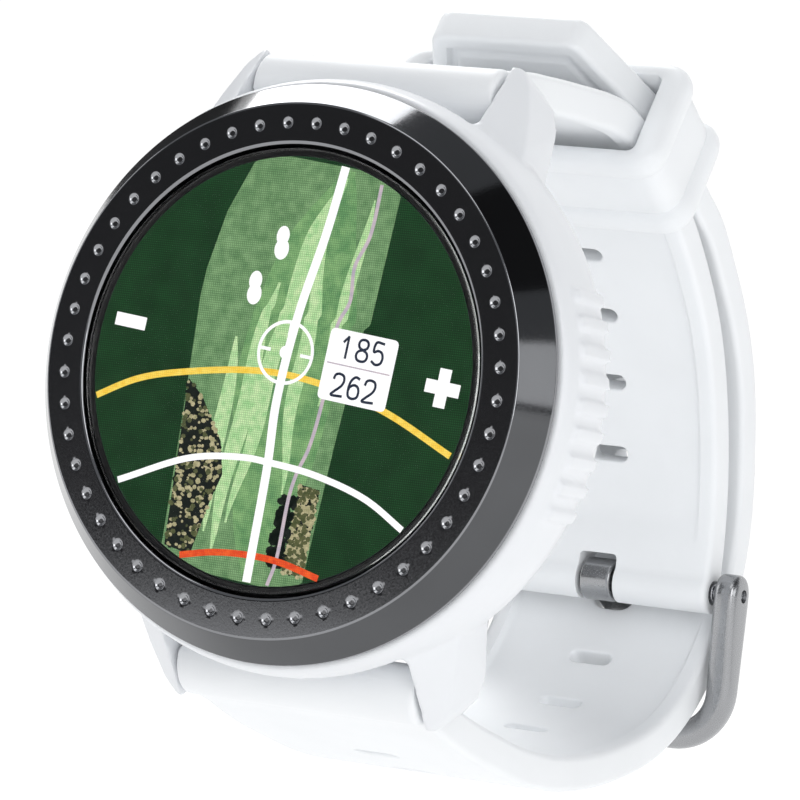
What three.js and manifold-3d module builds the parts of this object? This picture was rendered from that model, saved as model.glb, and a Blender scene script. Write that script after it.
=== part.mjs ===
// Golf GPS watch on a buckled rubber strap, in millimetres.
// X points to 3 o'clock, Y from the display into the watch, Z to 12 o'clock.
// All pieces are placed around the bezel's centre, then the whole part is moved onto z = 0.
import * as THREE from "three";
import { ConvexGeometry } from "three/addons/geometries/ConvexGeometry.js";
import { mergeVertices } from "three/addons/utils/BufferGeometryUtils.js";
import Module from "manifold-3d";

const wasm = await Module();
wasm.setup();

// Head of the watch
const BEZEL_FLAT_R = 20.1;
const BEZEL_R = 21.9;
const BEZEL_OPENING_R = 16.95;
const BEZEL_H = 2.95;
const DIMPLE_COUNT = 48;
const DIMPLE_RING_R = 18.6;
const DIMPLE_R = 0.5;
const DIMPLE_DEPTH = 0.35;
const DIAL_TURN = THREE.MathUtils.degToRad(-5.5);
const GLASS_R = 16.7;
const GLASS_Y = [0.05, 0.55];
const LIT_R = 16.15;
const LIT_Y = 0.6;
const CASE_R = 22.75;
const CAVITY_R = 18.3;
const SHELF_Y = 11.2;
const CASE_BACK_Y = 13.0;
const COVER_R = 19.4;
const COVER_FACE_Y = 13.6;
const SCREW_RING_R = 17.3;
const CONTACT_PITCH = 3.2;
const CONTACT_Z = -8.5;

// Lugs and spring bars
const LUG_INNER_X = 10.7;
const LUG_BAR_Y = 10.8;
const LUG_BAR_Z = 22.7;
const BAR_R = 0.75;
const BAR_TIP_R = 0.45;
const BAR_BORE_R = 1.05;

// Strap
const STRAP_HALF = 10.4;
const STRAP_T = 2.9;
const STRAP_EDGE = 0.7;
const ROOT_R = 2.3;
const SLOT_HALF_X = 1.9;
const SLOT_HALF_S = 0.65;
const SLOT_PITCH = 6.45;
const TIP_HALF = 6.5;
const TIP_TAPER = 11;

// Inclined straight run under the keeper: s runs down the strap, n away from the wrist.
const RUN_TILT = THREE.MathUtils.degToRad(30);
const RUN_S = [Math.cos(RUN_TILT), -Math.sin(RUN_TILT)];
const RUN_N = [Math.sin(RUN_TILT), Math.cos(RUN_TILT)];
const UPPER_N = 37.95;
const TAIL_N = 41.3;
const TAIL_END_S = 10;
const KEEPER_S = [17.2, 26.8];
const KEEPER_N = [33.85, 44.6];
const KEEPER_HOLE_N = [35.4, 43.05];
const KEEPER_HALF = 13.15;
const KEEPER_HOLE_HALF = 10.8;
const KEEPER_RIM = 2.4;
const KEEPER_STEP = 0.5;

// Buckle
const BUCKLE_BAR = [59.6, -11.7];
const CROSSBAR = [60.5, -23.9];
const KNUCKLE_R = 1.8;
const FRAME_INNER_X = 10.8;
const FRAME_OUTER_X = 13.2;
const FRAME_EYE_HALF = 1.75;
const FRAME_BAR_HALF = 1.3;
const FRAME_CORNER_R = 4;
const PRONG_HALF_X = 1.4;
const PRONG_T = 1.1;
const NOTCH_HALF_X = 1.75;

// Power button on the 9 o'clock side
const BUTTON_Y = 7.8;
const BUTTON_R = 2.3;

const COLORS = {
  white: { color: 0xf1f2f3, roughness: 0.5, metalness: 0 },
  rubber: { color: 0xf4f4f6, roughness: 0.65, metalness: 0 },
  black: { color: 0x17181a, roughness: 0.18, metalness: 0.9 },
  steel: { color: 0xa9abad, roughness: 0.32, metalness: 1 },
  glass: { color: 0x0e1512, roughness: 0.05, metalness: 0 },
  panel: { color: 0x14351f, roughness: 0.3, metalness: 0 },
  seal: { color: 0x202224, roughness: 0.8, metalness: 0 },
  frame: { color: 0x2c2e31, roughness: 0.6, metalness: 0 },
  board: { color: 0x14502c, roughness: 0.5, metalness: 0 },
  flex: { color: 0xb8772a, roughness: 0.5, metalness: 0 },
  cell: { color: 0xb9bcc0, roughness: 0.35, metalness: 0.8 },
  gold: { color: 0xd6a84b, roughness: 0.25, metalness: 1 },
};

// Turns a closed three.js geometry into a solid that faces outwards.
function solid(geometry) {
  const bare = geometry.clone();
  bare.deleteAttribute("normal");
  bare.deleteAttribute("uv");
  const merged = mergeVertices(bare, 1e-4);
  const data = { numProp: 3, vertProperties: merged.attributes.position.array };
  const made = new wasm.Manifold(new wasm.Mesh({ ...data, triVerts: new Uint32Array(merged.index.array) }));
  if (made.volume() > 0) return made;
  const turned = new Uint32Array(merged.index.array);
  for (let i = 0; i < turned.length; i += 3) {
    const keep = turned[i];
    turned[i] = turned[i + 1];
    turned[i + 1] = keep;
  }
  return new wasm.Manifold(new wasm.Mesh({ ...data, triVerts: turned }));
}

function join(...solids) {
  return solids.reduce((sum, next) => sum.add(next));
}

function cut(body, ...tools) {
  return tools.reduce((rest, tool) => rest.subtract(tool), body);
}

const watch = new THREE.Group();
watch.name = "golf_gps_watch";

function addNode(name, body, look) {
  const mesh = body.getMesh();
  const geometry = new THREE.BufferGeometry();
  geometry.setAttribute("position", new THREE.BufferAttribute(new Float32Array(mesh.vertProperties), 3));
  geometry.setIndex(new THREE.BufferAttribute(new Uint32Array(mesh.triVerts), 1));
  geometry.computeVertexNormals();
  const node = new THREE.Mesh(geometry, new THREE.MeshStandardMaterial(COLORS[look]));
  node.name = name;
  watch.add(node);
}

// Body of revolution about the watch axis from [radius, y] points.
function turned(profile, segments = 36) {
  const points = profile.map(([r, y]) => new THREE.Vector2(r, y));
  const touchesAxis = profile[0][0] === 0 && profile[profile.length - 1][0] === 0;
  if (!touchesAxis) points.push(points[0].clone());
  return solid(new THREE.LatheGeometry(points, segments));
}

function disc(r, y0, y1, segments = 36) {
  return turned([[0, y0], [r, y0], [r, y1], [0, y1]], segments);
}

function ring(r0, r1, y0, y1, segments = 36) {
  return turned([[r0, y0], [r1, y0], [r1, y1], [r0, y1]], segments);
}

function box(x, y, z) {
  const geometry = new THREE.BoxGeometry(x[1] - x[0], y[1] - y[0], z[1] - z[0]);
  geometry.translate((x[0] + x[1]) / 2, (y[0] + y[1]) / 2, (z[0] + z[1]) / 2);
  return solid(geometry);
}

// Cylinder along X from x0 to x1 around the line through y, z.
function rodX(r, x0, x1, y, z, segments = 20) {
  const geometry = new THREE.CylinderGeometry(r, r, x1 - x0, segments);
  geometry.rotateZ(Math.PI / 2);
  geometry.translate((x0 + x1) / 2, y, z);
  return solid(geometry);
}

// Cylinder along Y from y0 to y1 around the line through x, z.
function rodY(r, y0, y1, x, z, segments = 16) {
  const geometry = new THREE.CylinderGeometry(r, r, y1 - y0, segments);
  geometry.translate(x, (y0 + y1) / 2, z);
  return solid(geometry);
}

function extrude(shape, depth, curveSegments) {
  return new THREE.ExtrudeGeometry(shape, { depth, bevelEnabled: false, curveSegments });
}

// Closed skin through a row of rings that all have the same number of points.
function loft(rings) {
  const count = rings[0].length;
  const positions = rings.flat().flatMap((p) => [p.x, p.y, p.z]);
  const index = [];
  for (let i = 0; i < rings.length - 1; i++) {
    for (let j = 0; j < count; j++) {
      const a = i * count + j;
      const b = i * count + ((j + 1) % count);
      index.push(a, b, a + count, b, b + count, a + count);
    }
  }
  const last = (rings.length - 1) * count;
  for (let j = 1; j < count - 1; j++) {
    index.push(0, j + 1, j);
    index.push(last, last + j, last + j + 1);
  }
  const geometry = new THREE.BufferGeometry();
  geometry.setAttribute("position", new THREE.Float32BufferAttribute(positions, 3));
  geometry.setIndex(index);
  return solid(geometry);
}

function onRun(s, n) {
  return [s * RUN_S[0] + n * RUN_N[0], s * RUN_S[1] + n * RUN_N[1]];
}

function curveThrough(points) {
  return new THREE.CatmullRomCurve3(points.map(([y, z]) => new THREE.Vector3(0, y, z)), false, "centripetal");
}

// Place on a strap curve: position, direction along it, and the direction away from the wrist.
function placeOn(curve, along, side) {
  const u = Math.min(1, Math.max(0, along / curve.getLength()));
  const point = curve.getPointAt(u);
  const tangent = curve.getTangentAt(u);
  const away = new THREE.Vector3(0, -side * tangent.z, side * tangent.y);
  return { point, tangent, away };
}

function strapBody(curve, side, halfAt, step) {
  const length = curve.getLength();
  const count = Math.round(length / step);
  const h = STRAP_T / 2;
  const rings = [];
  for (let i = 0; i <= count; i++) {
    const along = (length * i) / count;
    const { point, away } = placeOn(curve, along, side);
    const w = halfAt(length - along);
    const e = STRAP_EDGE;
    const outline = [
      [w - e, -h], [w, e - h], [w, h - e], [w - e, h],
      [e - w, h], [-w, h - e], [-w, e - h], [e - w, -h],
    ];
    rings.push(outline.map(([x, n]) => point.clone().addScaledVector(away, n).setX(x)));
  }
  return loft(rings);
}

// Rounded slot through a strap at a distance along its curve.
function slotTool(curve, side, along, halfS) {
  const { point, tangent, away } = placeOn(curve, along, side);
  const r = Math.min(SLOT_HALF_S, halfS);
  const outline = new THREE.Shape();
  outline.absarc(SLOT_HALF_X - r, 0, r, -Math.PI / 2, Math.PI / 2, false);
  outline.absarc(r - SLOT_HALF_X, 0, r, Math.PI / 2, (3 * Math.PI) / 2, false);
  const geometry = extrude(outline, 8, 3);
  geometry.translate(0, 0, -4);
  geometry.scale(1, halfS / r, 1);
  const x = new THREE.Vector3(1, 0, 0);
  const place = new THREE.Matrix4().makeBasis(x, tangent, away).setPosition(point);
  geometry.applyMatrix4(place);
  return solid(geometry);
}

// Bezel ring with its circle of dimples
function dimpleTool(index) {
  const angle = ((index + 0.5) * 2 * Math.PI) / DIMPLE_COUNT + DIAL_TURN;
  const over = 0.2;
  const slope = DIMPLE_R / DIMPLE_DEPTH;
  const geometry = new THREE.ConeGeometry(DIMPLE_R + over * slope, DIMPLE_DEPTH + over, 6);
  geometry.translate(0, (DIMPLE_DEPTH - over) / 2, 0);
  geometry.translate(DIMPLE_RING_R * Math.cos(angle), 0, DIMPLE_RING_R * Math.sin(angle));
  return solid(geometry);
}

function bezelRing() {
  const body = turned([
    [BEZEL_OPENING_R, 0], [BEZEL_FLAT_R, 0], [BEZEL_R, 2.55], [BEZEL_R, BEZEL_H],
    [20.4, BEZEL_H], [20.4, 4.4], [19.2, 4.4], [19.2, 2.6], [BEZEL_OPENING_R, 2.6],
  ], 64);
  const dimples = Array.from({ length: DIMPLE_COUNT }, (_, i) => dimpleTool(i));
  return cut(body, ...dimples);
}

// Horn-shaped lug in the quadrant given by the signs of x and z
function lug(sx, sz) {
  const corners = [
    [LUG_INNER_X, 5.3, 19.3], [LUG_INNER_X, 5.3, 15], [14.6, 6.6, 15.5], [14.2, 7.8, 18.6],
    [13.4, 9.2, 21.4], [12.4, 10.5, 24.0], [11.5, 11.2, 25.2], [LUG_INNER_X, 10.6, 25.4],
    [LUG_INNER_X, 13.3, 24.0], [12.6, 13.4, 23.3], [13.5, 13.4, 22.2], [14.0, 13.1, 20.6], [14.1, 11.8, 17.0],
    [14.1, 11.8, 15], [LUG_INNER_X, 13.0, 15],
  ];
  return solid(new ConvexGeometry(corners.map(([x, y, z]) => new THREE.Vector3(sx * x, y, sz * z))));
}

function gripRib(index) {
  const angle = THREE.MathUtils.degToRad((index - 4) * 5.2);
  const geometry = new THREE.BoxGeometry(1.2, 4.4, 1.0);
  geometry.translate(CASE_R - 0.25, 7.2, 0);
  geometry.rotateY(angle);
  return solid(geometry);
}

function midCase() {
  const shell = turned([
    [22.15, 3.25], [22.45, 3.8], [22.7, 5.5], [CASE_R, 7.5], [22.6, 9.0], [22.1, 10.6],
    [21.4, 11.9], [20.9, 12.7], [20.6, CASE_BACK_Y], [19.7, CASE_BACK_Y], [19.7, SHELF_Y],
    [CAVITY_R, SHELF_Y], [CAVITY_R, 4.7], [20.7, 4.7], [20.7, 3.25],
  ], 56);
  const lugs = [lug(1, 1), lug(1, -1), lug(-1, 1), lug(-1, -1)];
  const hollow = disc(CAVITY_R, 4, 14, 56);
  const bosses = screwPlaces().map(([x, z]) => rodY(1.45, 7.5, SHELF_Y, x, z, 16));
  const ribs = Array.from({ length: 9 }, (_, i) => gripRib(i));
  const coverSeat = disc(19.7, SHELF_Y, 14, 56);
  const outside = cut(join(shell, ...lugs, ...ribs), hollow, coverSeat);
  const pockets = [1, -1].map((sz) => {
    const z = [20.1, 30].map((v) => v * sz).sort((a, b) => a - b);
    return box([-LUG_INNER_X, LUG_INNER_X], [5.7, 16], z);
  });
  const barHoles = [1, -1].map((sz) => rodX(BAR_R, -12.3, 12.3, LUG_BAR_Y, sz * LUG_BAR_Z, 12));
  const screwHoles = screwPlaces().map(([x, z]) => rodY(0.8, 8.1, 14, x, z, 12));
  const buttonHoles = [
    rodX(BUTTON_R + 0.3, -26, -21.5, BUTTON_Y, 0, 24),
    rodX(1.2, -26, -15, BUTTON_Y, 0, 16),
    rodX(1.95, -20.6, -15, BUTTON_Y, 0, 16),
  ];
  return cut(join(outside, ...bosses), ...pockets, ...barHoles, ...screwHoles, ...buttonHoles);
}

function screwPlaces() {
  const r = SCREW_RING_R * Math.SQRT1_2;
  return [[r, r], [-r, r], [-r, -r], [r, -r]];
}

function contactPlaces() {
  return [-1.5, -0.5, 0.5, 1.5].map((k) => [k * CONTACT_PITCH, CONTACT_Z]);
}

function backCover() {
  const body = turned([
    [0, 12.2], [COVER_R, 12.2], [COVER_R, 13.0], [18.9, 13.3], [14.2, 13.3],
    [13.6, COVER_FACE_Y], [0, COVER_FACE_Y],
  ], 44);
  const sinks = screwPlaces().map(([x, z]) => rodY(1.35, 12.9, 15, x, z, 16));
  const holes = screwPlaces().map(([x, z]) => rodY(0.8, 12, 14, x, z, 12));
  const pads = contactPlaces().map(([x, z]) => rodY(1.15, 12, 15, x, z, 16));
  return cut(body, ...sinks, ...holes, ...pads);
}

function backScrew([x, z]) {
  const head = rodY(1.05, 13.1, 13.6, x, z, 16);
  const shank = rodY(0.5, 8.6, 13.3, x, z, 12);
  const crossA = box([x - 0.7, x + 0.7], [13.35, 14], [z - 0.15, z + 0.15]);
  const crossB = box([x - 0.15, x + 0.15], [13.35, 14], [z - 0.7, z + 0.7]);
  return cut(join(head, shank), crossA, crossB);
}

function chargingContact([x, z]) {
  return join(rodY(0.85, 12.4, 13.45, x, z, 16), rodY(0.45, 11.3, 12.6, x, z, 12));
}

// Panel with its lit face raised inside the adhesive ring, close under the glass
function displayModule() {
  return turned([[0, LIT_Y], [LIT_R, LIT_Y], [LIT_R, 0.95], [16.65, 0.95], [16.65, 3.1], [0, 3.1]], 56);
}

function displayFrame() {
  const body = turned([
    [0, 3.4], [17.1, 3.4], [17.1, 2.85], [18.9, 2.85], [18.9, 4.45], [17.9, 4.45],
    [17.9, 5.8], [17.05, 5.8], [17.05, 4.4], [0, 4.4],
  ], 44);
  const flexSlot = box([-3.5, 3.5], [2, 5], [-16.6, -15.3]);
  return cut(body, flexSlot);
}

function mainBoard() {
  const notch = box([-3.5, 3.5], [4, 6], [-18, -15.3]);
  return cut(disc(16.6, 4.8, 5.6), notch);
}

function displayFlex() {
  const drop = box([-3, 3], [3.2, 6.2], [-16.0, -15.7]);
  const foot = box([-3, 3], [5.9, 6.2], [-16.0, -12.5]);
  return join(drop, foot);
}

function arcStrip(r0, r1, y0, y1, from, to) {
  const outline = new THREE.Shape();
  outline.absarc(0, 0, r1, from, to, false);
  outline.absarc(0, 0, r0, to, from, true);
  const geometry = extrude(outline, y1 - y0, 12);
  geometry.rotateX(Math.PI / 2);
  geometry.translate(0, y1, 0);
  return solid(geometry);
}

function springBar(y, z, half, tipHalf, tipR) {
  return join(rodX(BAR_R, -half, half, y, z, 16), rodX(tipR, -tipHalf, tipHalf, y, z, 12));
}

function powerButton() {
  const cap = rodX(BUTTON_R, -23.3, -22.3, BUTTON_Y, 0, 24);
  const stem = rodX(0.85, -22.6, -16.6, BUTTON_Y, 0, 16);
  const groove = cut(rodX(1.5, -18.0, -17.3, BUTTON_Y, 0, 16), rodX(0.55, -19, -16, BUTTON_Y, 0, 12));
  return cut(join(cap, stem), groove);
}

function sideSwitch() {
  const block = box([-14.9, -12.6], [5.9, 9.4], [-2, 2]);
  return join(block, rodX(0.7, -15.7, -14, BUTTON_Y, 0, 12));
}

function sleeveX(r0, r1, x0, x1) {
  return cut(rodX(r1, x0, x1, BUTTON_Y, 0, 20), rodX(r0, x0 - 1, x1 + 1, BUTTON_Y, 0, 16));
}

// Strap half that carries the buckle, from the 12 o'clock lugs over and down the back
const upperCurve = curveThrough([
  [LUG_BAR_Y, LUG_BAR_Z], [14.5, 23.9], [19, 24.25], [24, 24.45], [29, 24.55], [32.3, 24.3],
  onRun(19.5, UPPER_N), onRun(23, UPPER_N), onRun(27, UPPER_N), onRun(31, UPPER_N),
  [51.0, 12.6], [54.2, 8.5], [56.8, 3.3], [58.6, -2.3], [59.4, -7], BUCKLE_BAR,
]);

// Strap half with the slots, from the 6 o'clock lugs under, up the back and through the keeper
const tailCurve = curveThrough([
  [LUG_BAR_Y, -LUG_BAR_Z], [14.2, -24.1], [18.5, -25.4], [23.6, -26.5], [29, -27.45], [36, -27.8],
  [45, -26.75], [53.5, -24.1], [59.3, -19.7], [63.1, -13.5], [64.3, -8.6], [64.35, -4.6], [63.65, -0.8],
  [62.2, 4.3], [60.6, 7.8], [58.1, 11.4], [55.2, 14.5], onRun(35.5, TAIL_N), onRun(32, TAIL_N),
  onRun(28, TAIL_N), onRun(23, TAIL_N), onRun(18, TAIL_N), onRun(14, TAIL_N), onRun(TAIL_END_S, TAIL_N),
]);

// Distance along a curve to the point nearest to [y, z]
function alongTo(curve, [y, z]) {
  const length = curve.getLength();
  const target = new THREE.Vector3(0, y, z);
  let best = 0;
  for (let s = 0; s <= length; s += 0.05) {
    const nearer = curve.getPointAt(s / length).distanceTo(target);
    if (nearer < curve.getPointAt(best / length).distanceTo(target)) best = s;
  }
  return best;
}

function rootBarrel(sz) {
  return rodX(ROOT_R, -STRAP_HALF, STRAP_HALF, LUG_BAR_Y, sz * LUG_BAR_Z, 24);
}

function buckleStrap() {
  const band = strapBody(upperCurve, 1, () => STRAP_HALF, 2.8);
  const knuckle = rodX(KNUCKLE_R, -STRAP_HALF, STRAP_HALF, BUCKLE_BAR[0], BUCKLE_BAR[1], 24);
  const first = alongTo(upperCurve, [48.2, 15.4]);
  const slots = [0, 1, 2, 3].map((k) => slotTool(upperCurve, 1, first + k * SLOT_PITCH, SLOT_HALF_S));
  const bores = [
    rodX(BAR_BORE_R, -12, 12, LUG_BAR_Y, LUG_BAR_Z, 16),
    rodX(BAR_BORE_R, -12, 12, BUCKLE_BAR[0], BUCKLE_BAR[1], 16),
  ];
  const notch = box([-NOTCH_HALF_X, NOTCH_HALF_X], [54, 66], [-14, BUCKLE_BAR[1] + 2.2]);
  return cut(join(band, rootBarrel(1), knuckle), ...slots, ...bores, notch);
}

function tailHalf(fromEnd) {
  if (fromEnd > TIP_TAPER) return STRAP_HALF;
  return TIP_HALF + ((STRAP_HALF - TIP_HALF) * fromEnd) / TIP_TAPER;
}

function tailStrap() {
  const band = strapBody(tailCurve, -1, tailHalf, 2.75);
  const used = alongTo(tailCurve, [63.1, -13.5]);
  const steps = [-7, -6, -5, -4, -3, -2, -1, 1, 2, 3, 4];
  const slots = steps.map((k) => slotTool(tailCurve, -1, used + k * SLOT_PITCH, SLOT_HALF_S));
  const usedSlot = slotTool(tailCurve, -1, used + 0.25, 1.35);
  const bore = rodX(BAR_BORE_R, -12, 12, LUG_BAR_Y, -LUG_BAR_Z, 16);
  return cut(join(band, rootBarrel(-1)), ...slots, usedSlot, bore);
}

function roundedRect(halfX, n0, n1, r) {
  const shape = new THREE.Shape();
  shape.moveTo(halfX, n0 + r);
  shape.lineTo(halfX, n1 - r);
  shape.absarc(halfX - r, n1 - r, r, 0, Math.PI / 2, false);
  shape.lineTo(r - halfX, n1);
  shape.absarc(r - halfX, n1 - r, r, Math.PI / 2, Math.PI, false);
  shape.lineTo(-halfX, n0 + r);
  shape.absarc(r - halfX, n0 + r, r, Math.PI, (3 * Math.PI) / 2, false);
  shape.lineTo(halfX - r, n0);
  shape.absarc(halfX - r, n0 + r, r, (3 * Math.PI) / 2, 2 * Math.PI, false);
  return shape;
}

// Straight bar of a rounded rectangle along the inclined run
function runBar(halfX, n, r, s) {
  const shape = roundedRect(halfX, n[0], n[1], r);
  const geometry = extrude(shape, s[1] - s[0], 3);
  const x = new THREE.Vector3(1, 0, 0);
  const up = new THREE.Vector3(0, RUN_N[0], RUN_N[1]);
  const along = new THREE.Vector3(0, RUN_S[0], RUN_S[1]);
  const start = along.clone().multiplyScalar(s[0]);
  geometry.applyMatrix4(new THREE.Matrix4().makeBasis(x, up, along).setPosition(start));
  return solid(geometry);
}

function keeperLoop() {
  const [s0, s1] = KEEPER_S;
  const [n0, n1] = KEEPER_N;
  const core = runBar(KEEPER_HALF - KEEPER_STEP, [n0 + KEEPER_STEP, n1 - KEEPER_STEP], 2.2, [s0 + 1, s1 - 1]);
  const front = runBar(KEEPER_HALF, [n0, n1], 2.7, [s0, s0 + KEEPER_RIM]);
  const back = runBar(KEEPER_HALF, [n0, n1], 2.7, [s1 - KEEPER_RIM, s1]);
  const hole = runBar(KEEPER_HOLE_HALF, KEEPER_HOLE_N, 0.8, [s0 - 1, s1 + 1]);
  return cut(join(core, front, back), hole);
}

// Buckle frame: two eyes on the spring bar, side bars and a crossbar in one loft
function frameAxes() {
  const down = new THREE.Vector3(0, CROSSBAR[0] - BUCKLE_BAR[0], CROSSBAR[1] - BUCKLE_BAR[1]);
  const length = down.length();
  down.normalize();
  const depth = new THREE.Vector3(0, -down.z, down.y);
  return { down, depth, length, origin: new THREE.Vector3(0, BUCKLE_BAR[0], BUCKLE_BAR[1]) };
}

function frameCentreline(length) {
  const x = (FRAME_INNER_X + FRAME_OUTER_X) / 2;
  const r = FRAME_CORNER_R;
  const side = [0, 0.5, 1].map((k) => [x, k * (length - r)]);
  const corner = [1, 2, 3, 4].map((k) => {
    const angle = (k * Math.PI) / 8;
    return [x - r + r * Math.cos(angle), length - r + r * Math.sin(angle)];
  });
  const half = [...side, ...corner, [x / 3, length]];
  return [...half, ...half.toReversed().map(([px, l]) => [-px, l])];
}

function buckleFrame() {
  const { down, depth, length, origin } = frameAxes();
  const line = frameCentreline(length);
  const toPoint = ([x, l]) => origin.clone().addScaledVector(down, l).setX(x);
  const inPlaneHalf = (FRAME_OUTER_X - FRAME_INNER_X) / 2;
  const rings = line.map((at, i) => {
    const before = toPoint(line[Math.max(0, i - 1)]);
    const after = toPoint(line[Math.min(line.length - 1, i + 1)]);
    const across = after.sub(before).normalize().cross(depth);
    const deep = FRAME_EYE_HALF + (FRAME_BAR_HALF - FRAME_EYE_HALF) * Math.min(1, at[1] / (length - 1));
    return Array.from({ length: 12 }, (_, k) => {
      const angle = ((k + 0.5) * Math.PI) / 6;
      const a = inPlaneHalf * Math.sign(Math.cos(angle)) * Math.abs(Math.cos(angle)) ** 0.6;
      const b = deep * Math.sign(Math.sin(angle)) * Math.abs(Math.sin(angle)) ** 0.6;
      return toPoint(at).addScaledVector(across, a).addScaledVector(depth, b);
    });
  });
  const eyes = [1, -1].map((sx) => {
    const x = [sx * FRAME_INNER_X, sx * FRAME_OUTER_X].sort((a, b) => a - b);
    return rodX(FRAME_EYE_HALF, x[0], x[1], BUCKLE_BAR[0], BUCKLE_BAR[1], 24);
  });
  const bore = rodX(0.8, -14, 14, BUCKLE_BAR[0], BUCKLE_BAR[1], 16);
  return cut(join(loft(rings), ...eyes), bore);
}

function buckleProng() {
  const path = curveThrough([
    [60.9, -12.45], [63.0, -13.45], [64.6, -14.4], [65.7, -16.1],
    [65.7, -18.6], [64.8, -21.2], [63.3, -23.8], [62.5, -25.3],
  ]);
  const count = 14;
  const rings = Array.from({ length: count + 1 }, (_, i) => {
    const { point, away } = placeOn(path, (path.getLength() * i) / count, 1);
    const h = PRONG_T / 2;
    const w = PRONG_HALF_X;
    const outline = [[w, -h], [w, h], [-w, h], [-w, -h]];
    return outline.map(([x, n]) => point.clone().addScaledVector(away, n).setX(x));
  });
  const curl = rodX(KNUCKLE_R, -PRONG_HALF_X, PRONG_HALF_X, BUCKLE_BAR[0], BUCKLE_BAR[1], 24);
  const bore = rodX(BAR_BORE_R, -3, 3, BUCKLE_BAR[0], BUCKLE_BAR[1], 16);
  return cut(join(loft(rings), curl), bore);
}

addNode("mid_case", midCase(), "white");
addNode("bezel_ring", bezelRing(), "black");
addNode("bezel_gasket", ring(19.4, 20.2, 4.5, 4.6), "seal");
addNode("cover_glass", disc(GLASS_R, ...GLASS_Y, 56), "glass");
addNode("glass_adhesive", ring(16.25, 16.65, 0.62, 0.8), "seal");
addNode("display_module", displayModule(), "panel");
addNode("display_frame", displayFrame(), "frame");
addNode("display_flex", displayFlex(), "flex");
addNode("main_board", mainBoard(), "board");
addNode("gps_antenna", arcStrip(15.0, 16.2, 5.9, 8.6, (5 * Math.PI) / 18, (13 * Math.PI) / 18), "cell");
addNode("battery", box([-11, 11], [6.2, 10.6], [-7.8, 10.2]), "cell");
addNode("vibration_motor", rodY(4, 6.5, 9.2, 0, -12.4, 28), "steel");
addNode("side_switch", sideSwitch(), "frame");
addNode("back_cover", backCover(), "white");
addNode("back_gasket", ring(18.75, 19.45, 11.4, 12.0), "seal");
screwPlaces().forEach((place, i) => addNode("back_screw_" + (i + 1), backScrew(place), "steel"));
contactPlaces().forEach((place, i) => addNode("charging_contact_" + (i + 1), chargingContact(place), "gold"));
addNode("power_button", powerButton(), "steel");
addNode("button_seal", sleeveX(1.05, 1.65, -20.3, -19.5), "seal");
addNode("button_clip", sleeveX(0.7, 1.7, -17.8, -17.5), "steel");
addNode("upper_lug_bar", springBar(LUG_BAR_Y, LUG_BAR_Z, 10.5, 12.0, BAR_TIP_R), "steel");
addNode("lower_lug_bar", springBar(LUG_BAR_Y, -LUG_BAR_Z, 10.5, 12.0, BAR_TIP_R), "steel");
addNode("buckle_bar", springBar(BUCKLE_BAR[0], BUCKLE_BAR[1], 10.6, 12.9, 0.5), "steel");
addNode("buckle_strap", buckleStrap(), "rubber");
addNode("tail_strap", tailStrap(), "rubber");
addNode("keeper", keeperLoop(), "rubber");
addNode("buckle_frame", buckleFrame(), "steel");
addNode("buckle_prong", buckleProng(), "steel");

// The whole part stands on z = 0, centred on its bounding box in X and Y.
const bounds = new THREE.Box3().setFromObject(watch);
const centre = bounds.getCenter(new THREE.Vector3());
watch.position.set(-centre.x, -centre.y, -bounds.min.z);
watch.updateMatrixWorld(true);

export default watch;
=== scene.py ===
import math

import bmesh
import bpy
import numpy as np
from mathutils import Matrix, Vector


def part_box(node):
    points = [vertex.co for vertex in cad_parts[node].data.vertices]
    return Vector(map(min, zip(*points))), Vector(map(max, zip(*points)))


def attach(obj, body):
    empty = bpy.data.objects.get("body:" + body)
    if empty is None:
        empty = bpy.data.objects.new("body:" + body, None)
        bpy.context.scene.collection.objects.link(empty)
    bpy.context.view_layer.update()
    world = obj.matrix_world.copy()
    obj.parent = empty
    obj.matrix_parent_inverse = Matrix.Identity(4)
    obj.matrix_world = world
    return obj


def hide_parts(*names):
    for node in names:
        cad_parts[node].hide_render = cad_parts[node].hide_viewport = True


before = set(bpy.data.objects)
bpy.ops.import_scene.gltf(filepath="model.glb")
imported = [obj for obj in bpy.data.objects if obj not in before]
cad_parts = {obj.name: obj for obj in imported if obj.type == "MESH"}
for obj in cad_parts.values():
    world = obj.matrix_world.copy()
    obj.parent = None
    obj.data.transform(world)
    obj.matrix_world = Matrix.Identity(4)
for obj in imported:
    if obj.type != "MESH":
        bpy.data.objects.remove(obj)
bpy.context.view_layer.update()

# A golf GPS watch on a buckled rubber strap. Shapes are made in millimetres around the centre of
# the bezel: X to 3 o'clock, Y from the display into the watch, Z to 12 o'clock.
MM = 0.001
WELD = 1e-3
SUPPORT = 0.03
ARC_SHARE = 0.49
BEZEL_LOW, BEZEL_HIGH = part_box("bezel_ring")
CENTRE = Vector(((BEZEL_LOW.x + BEZEL_HIGH.x) / 2, BEZEL_LOW.y, (BEZEL_LOW.z + BEZEL_HIGH.z) / 2))
CASE_TO_ROW = Matrix.Translation(CENTRE) @ Matrix.Scale(MM, 4)

# Head
DIAL_TURN = math.radians(-5.5)
DIMPLES = 48
DIMPLE_RING = 18.6
DIMPLE_R = 0.44
DIMPLE_DEPTH = 0.14
OPENING_R = 16.95
FLAT_R = 20.1
BEZEL_R = 21.9
GLASS_R = 16.7
LIT_R = 16.12
LIT_Y = 0.6
LAYER = 0.003
PIXEL = 0.17
PIXEL_GAP = 0.36
CAVITY_R = 18.3
SHELF_Y = 11.2
SHELF_R = 19.7
SCREW_RING = 17.3
CONTACT_PITCH = 3.2
LUG_X = 10.7
LUG_BAR = (10.8, 22.7)
CASE_VOXEL = 0.235

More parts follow.
